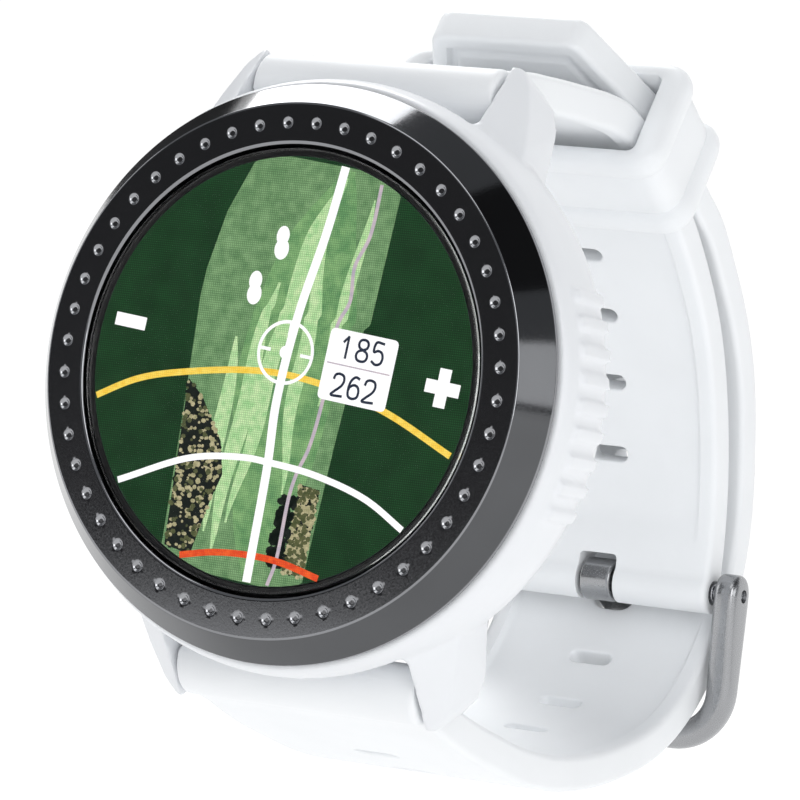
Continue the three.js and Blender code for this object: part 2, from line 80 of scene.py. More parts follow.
# Strap
STRAP_HALF = 10.4
STRAP_H = 1.45
EDGE_R = 0.55
EDGE_X = 6.0
ROOT_R = 2.3
KNUCKLE_R = 1.8
BORE_R = 1.05
RIM = 1.4
RECESS = 0.45
SLOT_HALF_X = 1.9
SLOT_HALF = 0.65
SLOT_PITCH = 6.45
USED_SLOT_HALF = 1.35
USED_SLOT_SHIFT = 0.25
ROWS_PER_PITCH = 13
PATCH_ROWS = 4
PATCH_HALF = 3.0
TIP_HALF = 6.5
TIP_TAPER = 11.0
PANEL_FROM = 29.0
PANEL_FULL = 26.0
PANEL_RECESS = 0.12
COLUMNS = [9.5, 9.15, 8.95, 8.8, 8.65, 8.5, 8.35, 8.2, 8.05, 7.9, 7.7, 7.4, 7.0, 6.5, 6.0, 5.0, 4.0]
COLUMNS += [3.0, 2.5, 2.0, 1.5, 1.0, 0.5]
RUN_TILT = math.radians(30)
UPPER_N = 37.95
TAIL_N = 41.3

# Keeper, buckle and button
KEEPER_S = (17.2, 26.8)
KEEPER_N = (33.85, 44.6)
KEEPER_HOLE_N = (35.4, 43.05)
KEEPER_HALF = 13.15
KEEPER_HOLE_HALF = 10.8
KEEPER_CORNER = 2.7
KEEPER_HOLE_CORNER = 0.8
BUCKLE_BAR = (59.6, -11.7)
CROSSBAR = (60.5, -23.9)
FRAME_X = 12.0
FRAME_HALF = 1.2
EYE_HALF = 1.75
CROSS_HALF = 1.3
CORNER_R = 4.0
PRONG_HALF = 1.4
PRONG_H = 0.53
BUTTON_Y = 7.8

# Camera
HEADING = math.radians(28.51)
PITCH = math.radians(2.36)
ROLL = math.radians(7.5)
LENS = 221.87
CAMERA_SPOT = (183.20, -317.65, -16.12)


# ---------------------------------------------------------------- shapes

def linked(name, data):
    """New object in the scene."""
    obj = bpy.data.objects.new(name, data)
    bpy.context.scene.collection.objects.link(obj)
    return obj


class Shape:
    """Points and faces of one piece, in millimetres around the bezel's centre."""

    def __init__(self):
        self.points = []
        self.faces = []
        self.looks = []

    def skin(self, rings, around=True, along=False, look=0, skip=None):
        """Quads between each ring of points and the next."""
        start = len(self.points)
        count = len(rings[0])
        for ring in rings:
            self.points.extend(tuple(float(c) for c in p) for p in ring)
        for i in range(len(rings) if along else len(rings) - 1):
            a = start + i * count
            b = start + (i + 1) % len(rings) * count
            for j in range(count if around else count - 1):
                if skip and skip(i, j):
                    continue
                k = (j + 1) % count
                self.faces.append((a + j, a + k, b + k, b + j))
                self.looks.append(look)
        return self

    def cap(self, ring, look=0):
        """One flat face over a ring of points."""
        start = len(self.points)
        self.points.extend(tuple(float(c) for c in p) for p in ring)
        self.faces.append(tuple(range(start, len(self.points))))
        self.looks.append(look)
        return self

    def bent(self, bend):
        self.points = [tuple(p) for p in bend(np.array(self.points))]
        return self

    def mesh(self, name):
        mesh = bpy.data.meshes.new(name)
        mesh.from_pydata(self.points, [], self.faces)
        mesh.polygons.foreach_set("material_index", self.looks)
        return mesh

    def make(self, name):
        """Object with its points welded and its faces turned outwards."""
        mesh = self.mesh(name)
        work = bmesh.new()
        work.from_mesh(mesh)
        bmesh.ops.remove_doubles(work, verts=work.verts, dist=WELD)
        bmesh.ops.recalc_face_normals(work, faces=work.faces)
        work.to_mesh(mesh)
        work.free()
        return linked(name, mesh)


def rounded(corners, steps=4):
    """Closed outline through (a, b, radius) corners; each is an arc with a point beyond either end."""
    outline = []
    for i, (a, b, radius) in enumerate(corners):
        here = np.array((a, b), float)
        if radius == 0:
            outline.append(here)
            continue
        back = np.array(corners[i - 1][:2]) - here
        ahead = np.array(corners[(i + 1) % len(corners)][:2]) - here
        long_back = np.linalg.norm(back)
        long_ahead = np.linalg.norm(ahead)
        cosine = np.clip(back @ ahead / (long_back * long_ahead), -1, 1)
        wanted = radius / math.tan(math.acos(cosine) / 2)
        reach = min(wanted, ARC_SHARE * long_back, ARC_SHARE * long_ahead)
        keep = reach + SUPPORT
        if keep < ARC_SHARE * long_back:
            outline.append(here + back / long_back * keep)
        for t in np.linspace(0, 1, steps + 1):
            start = here + back / long_back * reach * (1 - t) ** 2
            outline.append(start + ahead / long_ahead * reach * t**2)
        if keep < ARC_SHARE * long_ahead:
            outline.append(here + ahead / long_ahead * keep)
    return outline


def lathe(profile, at=(0, 0), axis="Y", segments=96, shape=None, look=0, turns=None):
    """Ring of (radius, distance along the axis) outlines; at is the axis's place on the other two axes."""
    rings = []
    for turn in np.linspace(0, 2 * math.pi, segments, endpoint=False) if turns is None else turns:
        c = math.cos(turn)
        s = math.sin(turn)
        if axis == "Y":
            rings.append([(at[0] + r * c, t, at[1] + r * s) for r, t in profile])
        else:
            rings.append([(t, at[0] + r * c, at[1] + r * s) for r, t in profile])
    return (shape or Shape()).skin(rings, along=True, look=look)


def rod(name, r, t0, t1, at=(0, 0), axis="Y", segments=48):
    """Plain round bar, as an object."""
    return lathe([(0, t0), (r, t0), (r, t1), (0, t1)], at, axis, segments).make(name)


def turned(name, corners, at=(0, 0), axis="Y", segments=96, steps=4):
    """Round piece with an outline of (radius, distance, edge radius) corners, as an object."""
    return lathe(rounded(corners, steps), at, axis, segments).make(name)


def slab(name, outline, depth):
    """Prism along Y over an (x, z) outline."""
    rings = [[(x, y, z) for x, z in outline] for y in depth]
    return Shape().skin(rings).cap(rings[0]).cap(rings[-1]).make(name)


def bake(obj):
    """Turns an object's modifiers into its mesh."""
    depsgraph = bpy.context.evaluated_depsgraph_get()
    mesh = bpy.data.meshes.new_from_object(obj.evaluated_get(depsgraph))
    obj.modifiers.clear()
    obj.data = mesh
    return obj


def combine(obj, tools, operation):
    for tool in tools:
        step = obj.modifiers.new(tool.name, "BOOLEAN")
        step.operation = operation
        step.solver = "EXACT"
        step.object = tool
    bake(obj)
    for tool in tools:
        bpy.data.objects.remove(tool)
    return obj


def cut(obj, *tools):
    return combine(obj, tools, "DIFFERENCE")


def join(obj, *others):
    return combine(obj, others, "UNION")


def place(obj, materials, body, slot, *nodes, sharp=32):
    """Moves a piece into the frame, gives it its finish and lets it ride on its body."""
    obj.data.transform(CASE_TO_ROW)
    for material in materials if isinstance(materials, list) else [materials]:
        obj.data.materials.append(material)
    obj.data.shade_smooth()
    obj.data.set_sharp_from_angle(angle=math.radians(sharp))
    if nodes:
        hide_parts(*nodes)
    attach(obj, body)
    return obj


def smooth_step(x, low, high):
    t = np.clip((np.asarray(x, float) - low) / (high - low), 0, 1)
    return t * t * (3 - 2 * t)


# ---------------------------------------------------------------- materials

def srgb(*levels):
    """Linear colour from 0-255 screen levels."""
    linear = [((v / 255 + 0.055) / 1.055) ** 2.4 if v > 10 else v / 255 / 12.92 for v in levels]
    return (*linear, 1.0)


def shaded(colour, factor):
    return tuple(min(1.0, c * factor) for c in colour[:3]) + (1.0,)


def new_material(name):
    material = bpy.data.materials.new(name)
    material.use_nodes = True
    tree = material.node_tree
    return material, tree, tree.nodes["Principled BSDF"]


def feed(tree, socket, value):
    """Gives a socket a plain value or another node's output."""
    if isinstance(value, bpy.types.NodeSocket):
        tree.links.new(value, socket)
    else:
        socket.default_value = value


def wire(tree, node, **inputs):
    """Feeds a node's named inputs; an underscore stands for a space."""
    for name, value in inputs.items():
        feed(tree, node.inputs[name.replace("_", " ")], value)
    return node


def millimetres(tree, stretch=(1, 1, 1)):
    """Object coordinates counted in millimetres."""
    where = tree.nodes.new("ShaderNodeTexCoord").outputs["Object"]
    mapping = tree.nodes.new("ShaderNodeMapping")
    return wire(tree, mapping, Scale=tuple(s / MM for s in stretch), Vector=where).outputs["Vector"]


def noise(tree, where, scale, detail=3.0):
    made = tree.nodes.new("ShaderNodeTexNoise")
    return wire(tree, made, Scale=scale, Detail=detail, Vector=where).outputs["Fac"]


def between(tree, factor, low, high):
    """Number that runs from low to high over the middle of a noise's range."""
    made = tree.nodes.new("ShaderNodeMapRange")
    wire(tree, made, From_Min=0.3, From_Max=0.7, To_Min=low, To_Max=high, Value=factor)
    return made.outputs["Result"]


def mixed(tree, factor, low, high):
    """Colour that runs from low to high with a factor."""
    made = tree.nodes.new("ShaderNodeMix")
    made.data_type = "RGBA"
    feed(tree, made.inputs[6], low)
    feed(tree, made.inputs[7], high)
    feed(tree, made.inputs[0], factor)
    return made.outputs[2]


def maths(tree, operation, *values):
    made = tree.nodes.new("ShaderNodeMath")
    made.operation = operation
    for socket, value in zip(made.inputs, values):
        feed(tree, socket, value)
    return made.outputs[0]


def finish(name, colour, rough, metal=0.0, grain=2.0, spread=0.04, uneven=0.05, relief=0.01, **sockets):
    """Surface with uneven colour and roughness and a fine grain; grain is waves per mm, relief is in mm."""
    material, tree, shader = new_material(name)
    fine = noise(tree, millimetres(tree), grain, 4.0)
    broad = between(tree, noise(tree, millimetres(tree), 0.16, 2.0), 0, 1)
    bump = wire(tree, tree.nodes.new("ShaderNodeBump"), Distance=relief * MM, Height=fine)
    wire(tree, shader, Metallic=metal, Normal=bump.outputs["Normal"], **sockets)
    wire(tree, shader, Base_Color=mixed(tree, broad, shaded(colour, 1 - spread), shaded(colour, 1 + spread)))
    wire(tree, shader, Roughness=between(tree, fine, rough - uneven, rough + uneven))
    return material


def pixel_grid(tree):
    """One inside each display pixel and nought in the gaps between them."""
    split = tree.nodes.new("ShaderNodeSeparateXYZ")
    wire(tree, split, Vector=millimetres(tree, (1 / PIXEL,) * 3))
    across, up = (maths(tree, "FRACT", split.outputs[axis]) for axis in "XZ")
    inside = [maths(tree, "GREATER_THAN", part, PIXEL_GAP) for part in (across, up)]
    return maths(tree, "MULTIPLY", *inside)


def lit(name, colour, other, scale, gap, strength=1.0):
    """Glowing display colour, mottled towards a second colour and divided by the pixel grid."""
    material, tree, shader = new_material(name)
    mottle = between(tree, noise(tree, millimetres(tree), scale), 0, 1)
    tone = mixed(tree, mottle, colour, other)
    dark = mixed(tree, mottle, shaded(colour, gap), shaded(other, gap))
    wire(tree, shader, Emission_Color=mixed(tree, pixel_grid(tree), dark, tone), Emission_Strength=strength)
    wire(tree, shader, Base_Color=(0.01, 0.01, 0.01, 1), Specular_IOR_Level=0.1, Roughness=0.5)
    return material


def clear_glass(name):
    material, tree, shader = new_material(name)
    smear = noise(tree, millimetres(tree), 0.25)
    wire(tree, shader, Roughness=between(tree, smear, 0.0, 0.03), Base_Color=(1, 1, 1, 1))
    wire(tree, shader, IOR=1.33, Transmission_Weight=1.0)
    return material


def circuit_board(name):
    """Green solder mask with paler tracks."""
    material, tree, shader = new_material(name)
    cells = tree.nodes.new("ShaderNodeTexVoronoi")
    cells.feature = "DISTANCE_TO_EDGE"
    cells.distance = "EUCLIDEAN"
    wire(tree, cells, Scale=0.7, Vector=millimetres(tree))
    track = maths(tree, "LESS_THAN", cells.outputs["Distance"], 0.06)
    wire(tree, shader, Base_Color=mixed(tree, track, srgb(20, 78, 44), srgb(64, 132, 74)), Roughness=0.35)
    return material


WHITE_CASE = finish("white_moulded_case", srgb(230, 232, 235), 0.36, grain=3.0, spread=0.012, relief=0.004)
WHITE_RUBBER = finish("white_silicone", srgb(239, 241, 243), 0.52, grain=5.0, spread=0.012, relief=0.006,
                      Sheen_Weight=0.15)
BLACK_METAL = finish("black_polished_metal", srgb(140, 141, 144), 0.1, 1.0, grain=6.0, uneven=0.03,
                     relief=0.0006)
GUNMETAL = finish("gunmetal_chamfer", srgb(92, 93, 95), 0.09, 1.0, grain=9.0, relief=0.0015)
DIMPLE_METAL = finish("polished_dimple", srgb(156, 157, 160), 0.12, 1.0, grain=6.0, uneven=0.03,
                      relief=0.0005)
STEEL = finish("satin_steel", srgb(160, 161, 163), 0.24, 1.0, grain=9.0, spread=0.02, uneven=0.06,
               relief=0.0008)
STEEL_FINE = finish("turned_steel", srgb(188, 189, 192), 0.26, 1.0, grain=5.0, uneven=0.06, relief=0.002)
SEAL = finish("black_seal_rubber", srgb(34, 35, 37), 0.7, grain=4.0, spread=0.1, relief=0.01)
INK = finish("black_border_print", srgb(9, 9, 11), 0.35, grain=4.0, spread=0.1, relief=0.002)
INNER = finish("grey_inner_plastic", srgb(52, 54, 58), 0.5, grain=3.0, spread=0.08, relief=0.01)
FOIL = finish("cell_foil", srgb(182, 186, 192), 0.3, 0.85, grain=1.2, spread=0.06, relief=0.03)
GOLD = finish("contact_gold", srgb(220, 178, 96), 0.22, 1.0, grain=6.0, relief=0.002)
AMBER = finish("amber_flex", srgb(190, 122, 44), 0.4, grain=2.5, spread=0.08, relief=0.01)
BOARD = circuit_board("green_circuit_board")
CARD = finish("dark_card", srgb(56, 56, 58), 0.8, grain=0.5)
GLASS = clear_glass("cover_glass_clear")


# ---------------------------------------------------------------- head

def turned_place(radius, angle):
    return radius * math.cos(angle), radius * math.sin(angle)


def dimple_depth(x, z):
    """How far the bezel's flat band sinks at a place on its ring of dimples."""
    step = 2 * math.pi / DIMPLES
    angle = math.atan2(z, x) - DIAL_TURN
    nearest = (math.floor(angle / step) + 0.5) * step + DIAL_TURN
    cx, cz = turned_place(DIMPLE_RING, nearest)
    away = math.hypot(x - cx, z - cz) / DIMPLE_R
    if away >= 1:
        return 0.0
    return DIMPLE_DEPTH * float(1 - smooth_step(away, 0.5, 1.0))


def dimple_turns():
    """Angles round the bezel, close together over the dimples and further apart between them."""
    step = 2 * math.pi / DIMPLES
    reach = 1.05 * DIMPLE_R / DIMPLE_RING
    over = np.linspace(-reach, reach, 17)
    beyond = np.linspace(reach, step - reach, 7)[1:-1]
    one = np.concatenate([over, beyond])
    return np.concatenate([(k + 0.5) * step + DIAL_TURN + one for k in range(DIMPLES)])


def bezel():
    """Black bezel: flat band with dimples, polished chamfer and a thin foot in the case."""
    band = [(r, 0.0) for r in np.arange(18.12, 19.1, 0.055)]
    inner = rounded([(19.2, 2.6, 0.1), (OPENING_R, 2.6, 0.1), (OPENING_R, 0, 0.3), (18.0, 0, 0)], 4)
    outer = rounded([(19.25, 0, 0), (FLAT_R, 0, 0.22), (BEZEL_R, 2.55, 0.3), (BEZEL_R, 2.95, 0.12),
                     (20.4, 2.95, 0.1), (20.4, 4.4, 0.2), (19.2, 4.4, 0.2), (19.2, 2.7, 0)], 4)
    obj = lathe(inner + band + outer, turns=dimple_turns()).make("bezel_finish")
    for vertex in obj.data.vertices:
        x, y, z = vertex.co
        if y < 1e-4 and 18.0 < math.hypot(x, z) < 19.25:
            vertex.co.y = dimple_depth(x, z)
    for face in obj.data.polygons:
        x, y, z = face.center
        r = math.hypot(x, z)
        if dimple_depth(x, z) > 0.01 and y < 1:
            face.material_index = 1
        elif r > FLAT_R + 0.04 and y < 2.5:
            face.material_index = 2
    return place(obj, [BLACK_METAL, DIMPLE_METAL, GUNMETAL], "watch", "bezel_black", "bezel_ring", sharp=80)


def hull(points, name):
    work = bmesh.new()
    for p in points:
        work.verts.new(p)
    bmesh.ops.convex_hull(work, input=work.verts)
    mesh = bpy.data.meshes.new(name)
    work.to_mesh(mesh)
    work.free()
    return linked(name, mesh)


def lug(sx, sz):
    """Horn-shaped lug in the quadrant given by the signs of x and z."""
    corners = [
        (LUG_X, 5.3, 19.3), (LUG_X, 5.3, 15), (14.6, 6.6, 15.5), (14.2, 7.8, 18.6),
        (13.4, 9.2, 21.4), (12.4, 10.5, 24.0), (11.5, 11.2, 25.2), (LUG_X, 10.6, 25.4),
        (LUG_X, 13.3, 24.0), (12.6, 13.4, 23.3), (13.5, 13.4, 22.2), (14.0, 13.1, 20.6),
        (14.1, 11.8, 17.0), (14.1, 11.8, 15), (LUG_X, 13.0, 15),
    ]
    return hull([(sx * x, y, sz * z) for x, y, z in corners], "lug")


def grip_rib(index):
    """Raised rib on the 3 o'clock side of the case."""
    turn = Matrix.Rotation(math.radians((index - 4) * 5.2), 4, "Y")
    corners = [(x, y, z) for x in (21.9, 23.1) for y in (5.0, 9.4) for z in (-0.5, 0.5)]
    return hull([turn @ Vector(c) for c in corners], "rib")


def screw_places():
    r = SCREW_RING * math.sqrt(0.5)
    return [(r, r), (-r, r), (-r, -r), (r, -r)]


def contact_places():
    return [(k * CONTACT_PITCH, -8.5) for k in (-1.5, -0.5, 0.5, 1.5)]


def case_body():
    """White case with its lugs, moulded as one piece with soft edges."""
    profile = [
        (22.15, 3.25), (22.45, 3.8), (22.62, 4.6), (22.72, 5.6), (22.75, 7.5), (22.6, 9.0), (22.1, 10.6),
        (21.4, 11.9), (20.9, 12.7), (20.6, 13.0), (SHELF_R, 13.0), (SHELF_R, SHELF_Y),
        (CAVITY_R, SHELF_Y), (CAVITY_R, 4.7), (20.7, 4.7), (20.7, 3.25),
    ]
    body = lathe(profile, segments=160).make("case_finish")
    join(body, *[lug(sx, sz) for sx in (1, -1) for sz in (1, -1)], *[grip_rib(i) for i in range(9)])
    tools = [rod("hollow", CAVITY_R, 4, 14, segments=120), rod("seat", SHELF_R, SHELF_Y, 14, segments=120)]
    for sz in (1, -1):
        outline = [(-LUG_X, 20.1 * sz), (LUG_X, 20.1 * sz), (LUG_X, 30 * sz), (-LUG_X, 30 * sz)]
        tools.append(slab("pocket", outline, (5.7, 16)))
        tools.append(rod("bar_hole", 0.75, -12.3, 12.3, (LUG_BAR[0], sz * LUG_BAR[1]), "X", 24))
    tools.append(rod("button_seat", 2.6, -26, -21.5, (BUTTON_Y, 0), "X", 48))
    tools.append(rod("button_bore", 1.2, -26, -15, (BUTTON_Y, 0), "X", 32))
    cut(body, *tools)
    remesh = body.modifiers.new("mould", "REMESH")
    remesh.mode = "VOXEL"
    remesh.voxel_size = CASE_VOXEL
    soften = body.modifiers.new("soften", "SMOOTH")
    soften.factor = 0.5
    soften.iterations = 4
    bake(body)
    return place(body, WHITE_CASE, "watch", "case_white", "mid_case", sharp=60)


def screw_bosses():
    """Posts inside the case that take the back screws."""
    shape = Shape()
    profile = rounded([(0.8, 7.5, 0.1), (1.45, 7.5, 0.15), (1.45, SHELF_Y, 0), (0.8, SHELF_Y, 0)], 3)
    for spot in screw_places():
        lathe(profile, spot, segments=32, shape=shape)
    return place(shape.make("case_screw_posts"), WHITE_CASE, "watch", "case_white")


def glass():
    lens = [(0, 0.05, 0), (GLASS_R, 0.05, 0.14), (GLASS_R, 0.55, 0.06), (0, 0.55, 0)]
    place(turned("cover_glass_lens", lens, segments=192), GLASS, "watch", "glass", "cover_glass")
    border = [(16.2, 0.62, 0.02), (16.65, 0.62, 0.02), (16.65, 0.8, 0.02), (16.2, 0.8, 0.02)]
    ring = turned("glass_adhesive_ring", border, segments=160, steps=2)
    place(ring, INK, "watch", "seal_black", "glass_adhesive")


def back():
    """Rear cover, sunk and bored for its screws and charging contacts."""
    outline = [(0, 12.2, 0), (19.4, 12.2, 0.2), (19.4, 13.0, 0.15), (18.9, 13.3, 0.2), (14.2, 13.3, 0.2),
               (13.6, 13.6, 0.25), (0, 13.6, 0)]
    cover = turned("back_cover_finish", outline, segments=144)
    tools = [rod("sink", 1.35, 12.9, 15, spot) for spot in screw_places()]
    tools += [rod("screw_hole", 0.8, 12, 15, spot) for spot in screw_places()]
    tools += [rod("pad_hole", 1.15, 12, 15, spot) for spot in contact_places()]
    cut(cover, *tools)
    place(cover, WHITE_CASE, "watch", "case_white", "back_cover")


def back_screws():
    outline = [(0, 8.6, 0), (0.5, 8.6, 0.15), (0.5, 13.1, 0.05), (1.05, 13.1, 0.05), (1.05, 13.6, 0.18),
               (0, 13.6, 0)]
    for i, (x, z) in enumerate(screw_places()):
        screw = turned("back_screw_finish_%d" % (i + 1), outline, (x, z), segments=48)
        cross = []
        for a, b in ((0.7, 0.14), (0.14, 0.7)):
            corners = [(x - a, z - b), (x + a, z - b), (x + a, z + b), (x - a, z + b)]
            cross.append(slab("cross", corners, (13.32, 14)))
        cut(screw, *cross)
        place(screw, STEEL_FINE, "watch", "steel", "back_screw_%d" % (i + 1))


def charging_contacts():
    outline = [(0, 11.3, 0), (0.45, 11.3, 0.1), (0.45, 12.4, 0.05), (0.85, 12.4, 0.1), (0.85, 13.45, 0.3),
               (0, 13.45, 0)]
    for i, spot in enumerate(contact_places()):
        pin = turned("charging_contact_finish_%d" % (i + 1), outline, spot, segments=40)
        place(pin, GOLD, "watch", "contact_gold", "charging_contact_%d" % (i + 1))


def button():
    """Power button on the 9 o'clock side, with its seal and clip."""
    spot = (BUTTON_Y, 0)
    outline = [
        (0, -23.3, 0), (1.3, -23.3, 0.1), (1.45, -23.15, 0.1), (1.75, -23.15, 0.1), (1.9, -23.3, 0.1),
        (2.3, -23.3, 0.35), (2.3, -22.3, 0.1), (0.85, -22.3, 0.1), (0.85, -18.0, 0.05), (0.55, -18.0, 0),
        (0.55, -17.3, 0), (0.85, -17.3, 0.05), (0.85, -16.6, 0.15), (0, -16.6, 0),
    ]
    cap = turned("power_button_finish", outline, spot, "X", 72)
    place(cap, STEEL_FINE, "button", "steel", "power_button")
    ring = [(1.05, -20.3, 0.1), (1.65, -20.3, 0.25), (1.65, -19.5, 0.25), (1.05, -19.5, 0.1)]
    place(turned("button_seal_finish", ring, spot, "X", 48), SEAL, "watch", "seal_black", "button_seal")
    ring = [(0.7, -17.8, 0.05), (1.7, -17.8, 0.08), (1.7, -17.5, 0.08), (0.7, -17.5, 0.05)]
    clip = turned("button_clip_finish", ring, spot, "X", 48, 2)
    place(clip, STEEL_FINE, "button", "steel", "button_clip")


def spring_bar(name, node, spot, half, tip_half, tip_r):
    outline = [(0, -tip_half, 0), (tip_r, -tip_half, 0.15), (tip_r, -half, 0.03), (0.75, -half, 0.12),
               (0.75, half, 0.12), (tip_r, half, 0.03), (tip_r, tip_half, 0.15), (0, tip_half, 0)]
    place(turned(name, outline, spot, "X", 40), STEEL_FINE, "watch", "steel", node)


def dress(node, material, edge):
    """Better finish and softened edges for a CAD node that stays as it is."""
    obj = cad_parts[node]
    obj.data.materials.clear()
    obj.data.materials.append(material)
    bevel = obj.modifiers.new("soft_edges", "BEVEL")
    bevel.width = edge * MM
    bevel.segments = 3
    bevel.limit_method = "ANGLE"
    bevel.angle_limit = math.radians(40)
    bevel.use_clamp_overlap = True


# ---------------------------------------------------------------- display picture

MAP_TURN = -DIAL_TURN
ROUGH, EDGE, FAIRWAY, STRIPE, WHITE, YELLOW, RED, TRACK, SHADE, LEAF, SHRUB, DIGIT, HOUSING = range(13)
BOX = (6.5, 1.32)
MINUS = (-13.65, 1.25)
PLUS = (13.74, 1.3)


def on_dial(u, v, level):
    """Place on the lit face; u is to the right of the dial, v up, level a layer number."""
    c = math.cos(MAP_TURN)
    s = math.sin(MAP_TURN)
    return c * u + s * v, LIT_Y - LAYER * level, -s * u + c * v


def inside_lit(points):
    return [p for p in points if math.hypot(*p) < LIT_R - 0.02]


def oval(u, v, half_u, half_v, count):
    """Points round an ellipse."""
    angles = np.linspace(0, 2 * math.pi, count, endpoint=False)
    return [(u + half_u * math.cos(a), v + half_v * math.sin(a)) for a in angles]


def flowing(points, step=0.25):
    """Smooth row of points through a few given ones."""
    line = Path(points)
    return [tuple(p) for p in line.at(np.linspace(0, line.length, max(4, int(line.length / step))))[0]]


class Picture:
    """Thin layers of coloured shapes on the lit face."""

    def __init__(self):
        self.shape = Shape()

    def patch(self, outline, level, look):
        self.shape.cap([on_dial(u, v, level) for u, v in outline], look)

    def strip(self, left, right, level, look):
        rings = [[on_dial(*a, level), on_dial(*b, level)] for a, b in zip(left, right)]
        self.shape.skin(rings, around=False, look=look)

    def stroke(self, points, width, level, look, closed=False):
        line = points if closed else inside_lit(flowing(points))
        line = np.array(line)
        ahead = np.roll(line, -1, 0) - np.roll(line, 1, 0)
        if not closed:
            ahead[0] = line[1] - line[0]
            ahead[-1] = line[-1] - line[-2]
        ahead /= np.linalg.norm(ahead, axis=1)[:, None]
        side = np.stack([-ahead[:, 1], ahead[:, 0]], 1) * width / 2
        left = [tuple(p) for p in line + side]
        right = [tuple(p) for p in line - side]
        if closed:
            left.append(left[0])
            right.append(right[0])
        self.strip(left, right, level, look)

    def bar(self, u, v, half_u, half_v, level, look, edge=0.0):
        corners = [(-1, -1), (1, -1), (1, 1), (-1, 1)]
        outline = rounded([(u + a * half_u, v + b * half_v, edge) for a, b in corners], 5)
        self.patch(outline, level, look)

    def blob(self, u, v, half_u, half_v, level, look, count=24):
        self.patch(oval(u, v, half_u, half_v, count), level, look)


def span_at(points, v):
    """u of an edge line at height v; its points run from the top down."""
    heights = [p[1] for p in points][::-1]
    return float(np.interp(v, heights, [p[0] for p in points][::-1]))


def in_outline(u, v, outline):
    inside = False
    for (u0, v0), (u1, v1) in zip(outline, outline[1:] + outline[:1]):
        if (v0 > v) != (v1 > v) and u < (u1 - u0) * (v - v0) / (v1 - v0) + u0:
            inside = not inside
    return inside


# Each digit is one bent line on a cell of one by one
DIGITS = {
    "1": [(0.15, 0.72), (0.5, 1.0), (0.5, 0.0)],
    "2": [(0.02, 0.74), (0.12, 0.93), (0.42, 1.0), (0.8, 0.93), (0.9, 0.7), (0.75, 0.47), (0.3, 0.2),
          (0.02, 0.0), (0.95, 0.0)],
    "5": [(0.85, 1.0), (0.2, 1.0), (0.12, 0.56), (0.45, 0.64), (0.78, 0.57), (0.92, 0.33), (0.8, 0.08),
          (0.42, 0.0), (0.05, 0.12)],
    "6": [(0.82, 0.95), (0.5, 1.0), (0.18, 0.82), (0.04, 0.42), (0.15, 0.08), (0.5, 0.0), (0.86, 0.1),
          (0.93, 0.34), (0.8, 0.56), (0.48, 0.63), (0.16, 0.52), (0.05, 0.36)],
    "8": [(0.5, 0.53), (0.2, 0.62), (0.1, 0.79), (0.22, 0.95), (0.5, 1.0), (0.78, 0.95), (0.9, 0.79),
          (0.8, 0.62), (0.5, 0.53), (0.14, 0.42), (0.03, 0.25), (0.16, 0.06), (0.5, 0.0), (0.84, 0.06),
          (0.97, 0.25), (0.86, 0.42), (0.5, 0.53)],
}

FAIRWAY_LEFT = [(-5.9, 15.1), (-7.4, 10.9), (-8.1, 6.4), (-8.15, 4.25), (-7.7, -1.4), (-7.3, -7.1),
                (-6.85, -14.2)]
FAIRWAY_RIGHT = [(6.9, 14.4), (6.7, 4.7), (6.26, 4.25), (5.9, -4.7), (5.7, -14.2)]
TREES = [(-7.6, -2.0), (-6.1, -3.1), (-3.7, -6.1), (-2.95, -8.5), (-3.5, -10.6), (-4.25, -14.9),
         (-6.6, -14.6), (-7.2, -7.0)]
TREES_RIGHT = [(3.8, -8.0), (5.5, -8.0), (5.55, -14.6), (3.8, -14.6)]
FOOTPATH = [(5.15, 15.3), (5.08, 11.1), (4.37, 8.7), (4.6, 6.1), (4.0, 4.25), (4.13, -1.4), (3.83, -5.2),
            (3.3, -7.1), (3.07, -8.9), (3.14, -13.9), (2.83, -15.8)]
AIM_LINE = [(1.84, 16.1), (1.42, 10.9), (0.52, 4.25), (0.28, -2.35), (0.7, -7.1), (1.06, -15.9)]
YELLOW_ARC = [(-15.9, -5.2), (-12.0, -2.9), (-8.2, -1.65), (-1.4, -0.3), (3.5, -0.3), (9.4, -1.3),
              (15.8, -3.5)]
WHITE_ARC = [(-11.8, -10.7), (-5.9, -7.8), (-1.4, -6.9), (0.7, -6.85), (4.7, -7.0), (9.4, -7.9),
             (13.2, -9.6)]
RED_ARC = [(-5.1, -15.1), (-2.2, -14.3), (0.95, -13.9), (3.5, -13.9), (7.2, -14.45)]
TARGET = (0.14, 1.42)
TARGET_R = 2.3


def digits(picture, text, u, v, height, level, look):
    wide = height * 0.62
    for i, letter in enumerate(text):
        left = u + (i - len(text) / 2) * (wide + 0.34) + 0.17
        points = [(left + a * wide, v + (b - 0.5) * height) for a, b in DIGITS[letter]]
        line = points if letter == "1" else flowing(points, 0.06)
        for a, b in zip(line, line[1:]):
            picture.strip(*thick(a, b, 0.2), level, look)


def thick(a, b, width):
    """Both sides of a short thick line from a to b, a little longer at each end."""
    d = np.array(b) - np.array(a)
    d = d / np.linalg.norm(d)
    side = np.array((-d[1], d[0])) * width / 2
    start = np.array(a) - d * width * 0.2
    end = np.array(b) + d * width * 0.2
    return [tuple(start + side), tuple(end + side)], [tuple(start - side), tuple(end - side)]


